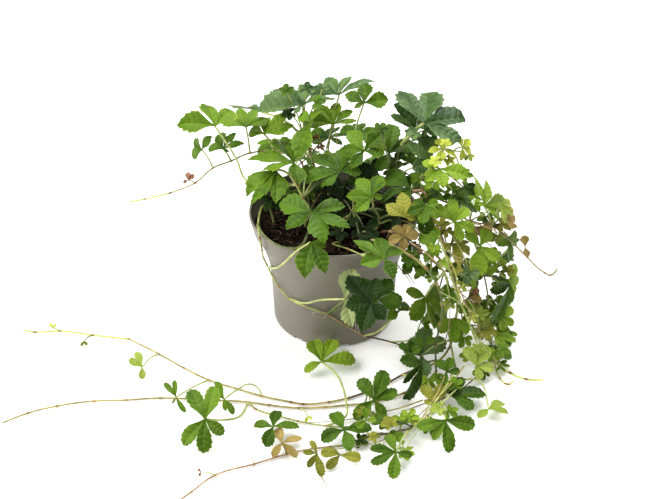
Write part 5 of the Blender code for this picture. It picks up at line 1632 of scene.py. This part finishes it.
def peat_crumbs():
    """Loose crumbs of peat, of all sizes, each turned and squashed its own way."""
    draw = Random("peat crumbs")
    pattern = added(bpy.ops.mesh.primitive_ico_sphere_add, subdivisions=1, radius=1.0)
    crumbs = []
    for _ in range(CRUMBS):
        place = drawn_place(draw, POT_RIM_RADIUS - CRUMB_MARGIN)
        size = draw.uniform(*CRUMB_SHARES) ** 2 * LARGEST_CRUMB
        crumb = linked_copy(pattern)
        crumb.location = (place.x, place.y, SOIL_TOP + peat_relief(place.x, place.y) + size * CRUMB_LIFT)
        crumb.rotation_euler = [draw.uniform(0, pi) for _ in range(3)]
        crumb.scale = [size * draw.uniform(*CRUMB_SQUASH) for _ in range(3)]
        crumbs.append(crumb)
    bpy.data.objects.remove(pattern)
    joined = join_pieces(crumbs, "peat_crumbs")
    bpy.ops.object.transform_apply()
    return joined


def peat_fibres():
    """Fine reddish fibres that lie criss-cross on the peat."""
    draw = Random("peat fibres")
    piece = twig_curve("peat_fibres", [fibre_finish()], roundness=0, steps=2)
    for _ in range(FIBRES):
        place = drawn_place(draw, POT_RIM_RADIUS - FIBRE_MARGIN)
        heading = draw.uniform(0, 2 * pi)
        points = []
        for _ in range(3):
            place = place + Vector((cos(heading), sin(heading), 0)) * draw.uniform(*FIBRE_STEP)
            heading += draw.uniform(-FIBRE_TURN, FIBRE_TURN)
            place.xy = place.xy * min(1, (POT_RIM_RADIUS - FIBRE_EDGE) / max(place.xy.length, 1e-6))
            rise = peat_relief(place.x, place.y) + draw.uniform(*FIBRE_RISE)
            points.append(Vector((place.x, place.y, SOIL_TOP + rise)))
        add_twig(piece, points, [draw.uniform(*FIBRE_RADIUS) for _ in points])
    return as_mesh(piece)


def make_peat():
    body = peat_body()
    crumbs = peat_crumbs()
    body.data.materials.append(peat_finish())
    crumbs.data.materials.append(body.data.materials[0])
    peat = join_pieces([body, crumbs, peat_fibres()], "peat_soil")
    smooth(peat)
    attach(peat, "root")
    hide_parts("soil")


# The studio

def make_floor():
    floor = added(bpy.ops.mesh.primitive_plane_add, size=FLOOR_SIZE)
    floor.name = "floor"
    material, tree, shader = new_finish("pale_floor")
    set_skin(tree, shader, mixed(tree, mottle(tree, 30.0), paint(FLOOR_PALE), paint(FLOOR_DULL)), 0.8)
    # The floor glows faintly: painted light that washes out its shadows
    shader.inputs["Emission Color"].default_value = WHITE
    shader.inputs["Emission Strength"].default_value = FLOOR_GLOW
    floor.data.materials.append(material)


def add_soft_light(name, place, size, power):
    """A square soft light that shines at the plant."""
    bpy.ops.object.light_add(type="AREA", location=place)
    light = bpy.context.object
    light.name = name
    light.data.shape = "SQUARE"
    light.data.size = size
    light.data.energy = power
    light.rotation_euler = (LIGHT_AIM - Vector(place)).to_track_quat("-Z", "Y").to_euler()


def make_lights():
    world = bpy.data.worlds.new("white_room")
    world.use_nodes = True
    backdrop = world.node_tree.nodes["Background"]
    backdrop.inputs["Color"].default_value = WHITE
    backdrop.inputs["Strength"].default_value = ROOM_LIGHT
    bpy.context.scene.world = world
    for name, (place, size, power) in SOFT_LIGHTS.items():
        add_soft_light(name, place, size, power)
    bpy.context.scene.view_settings.view_transform = "Standard"


def make_camera():
    """The reference picture's viewpoint."""
    lens = bpy.data.cameras.new("camera")
    lens.lens = LENS_MM
    lens.sensor_width = SENSOR_MM
    lens.clip_start = 0.01
    camera = bpy.data.objects.new("camera", lens)
    bpy.context.scene.collection.objects.link(camera)
    camera.location = VIEW_PLACE
    camera.rotation_euler = (pi / 2 - VIEW_PITCH, 0, 0)
    bpy.context.scene.camera = camera


def main():
    make_camera()
    make_lights()
    make_floor()
    make_pot()
    make_peat()
    leaf_finishes = []
    for name, tone in LEAF_TONES.items():
        leaf_finishes += [leaf_top_finish(name, tone), leaf_under_finish(name, tone)]
    stem_finishes = [stem_finish(name, colours) for name, colours in STEM_TONES.items()]
    round_leaflet = leaflet_pattern("round_leaflet", ROUND_ROWS, leaf_finishes)
    pointed_leaflet = leaflet_pattern("pointed_leaflet", POINTED_ROWS, leaf_finishes)
    for name, grown_leaves in lay_out().items():
        pattern = round_leaflet if name in ROUND_LEAVED else pointed_leaflet
        dress_vine(name, grown_leaves, pattern, stem_finishes)
    bpy.data.objects.remove(round_leaflet)
    bpy.data.objects.remove(pointed_leaflet)


main()
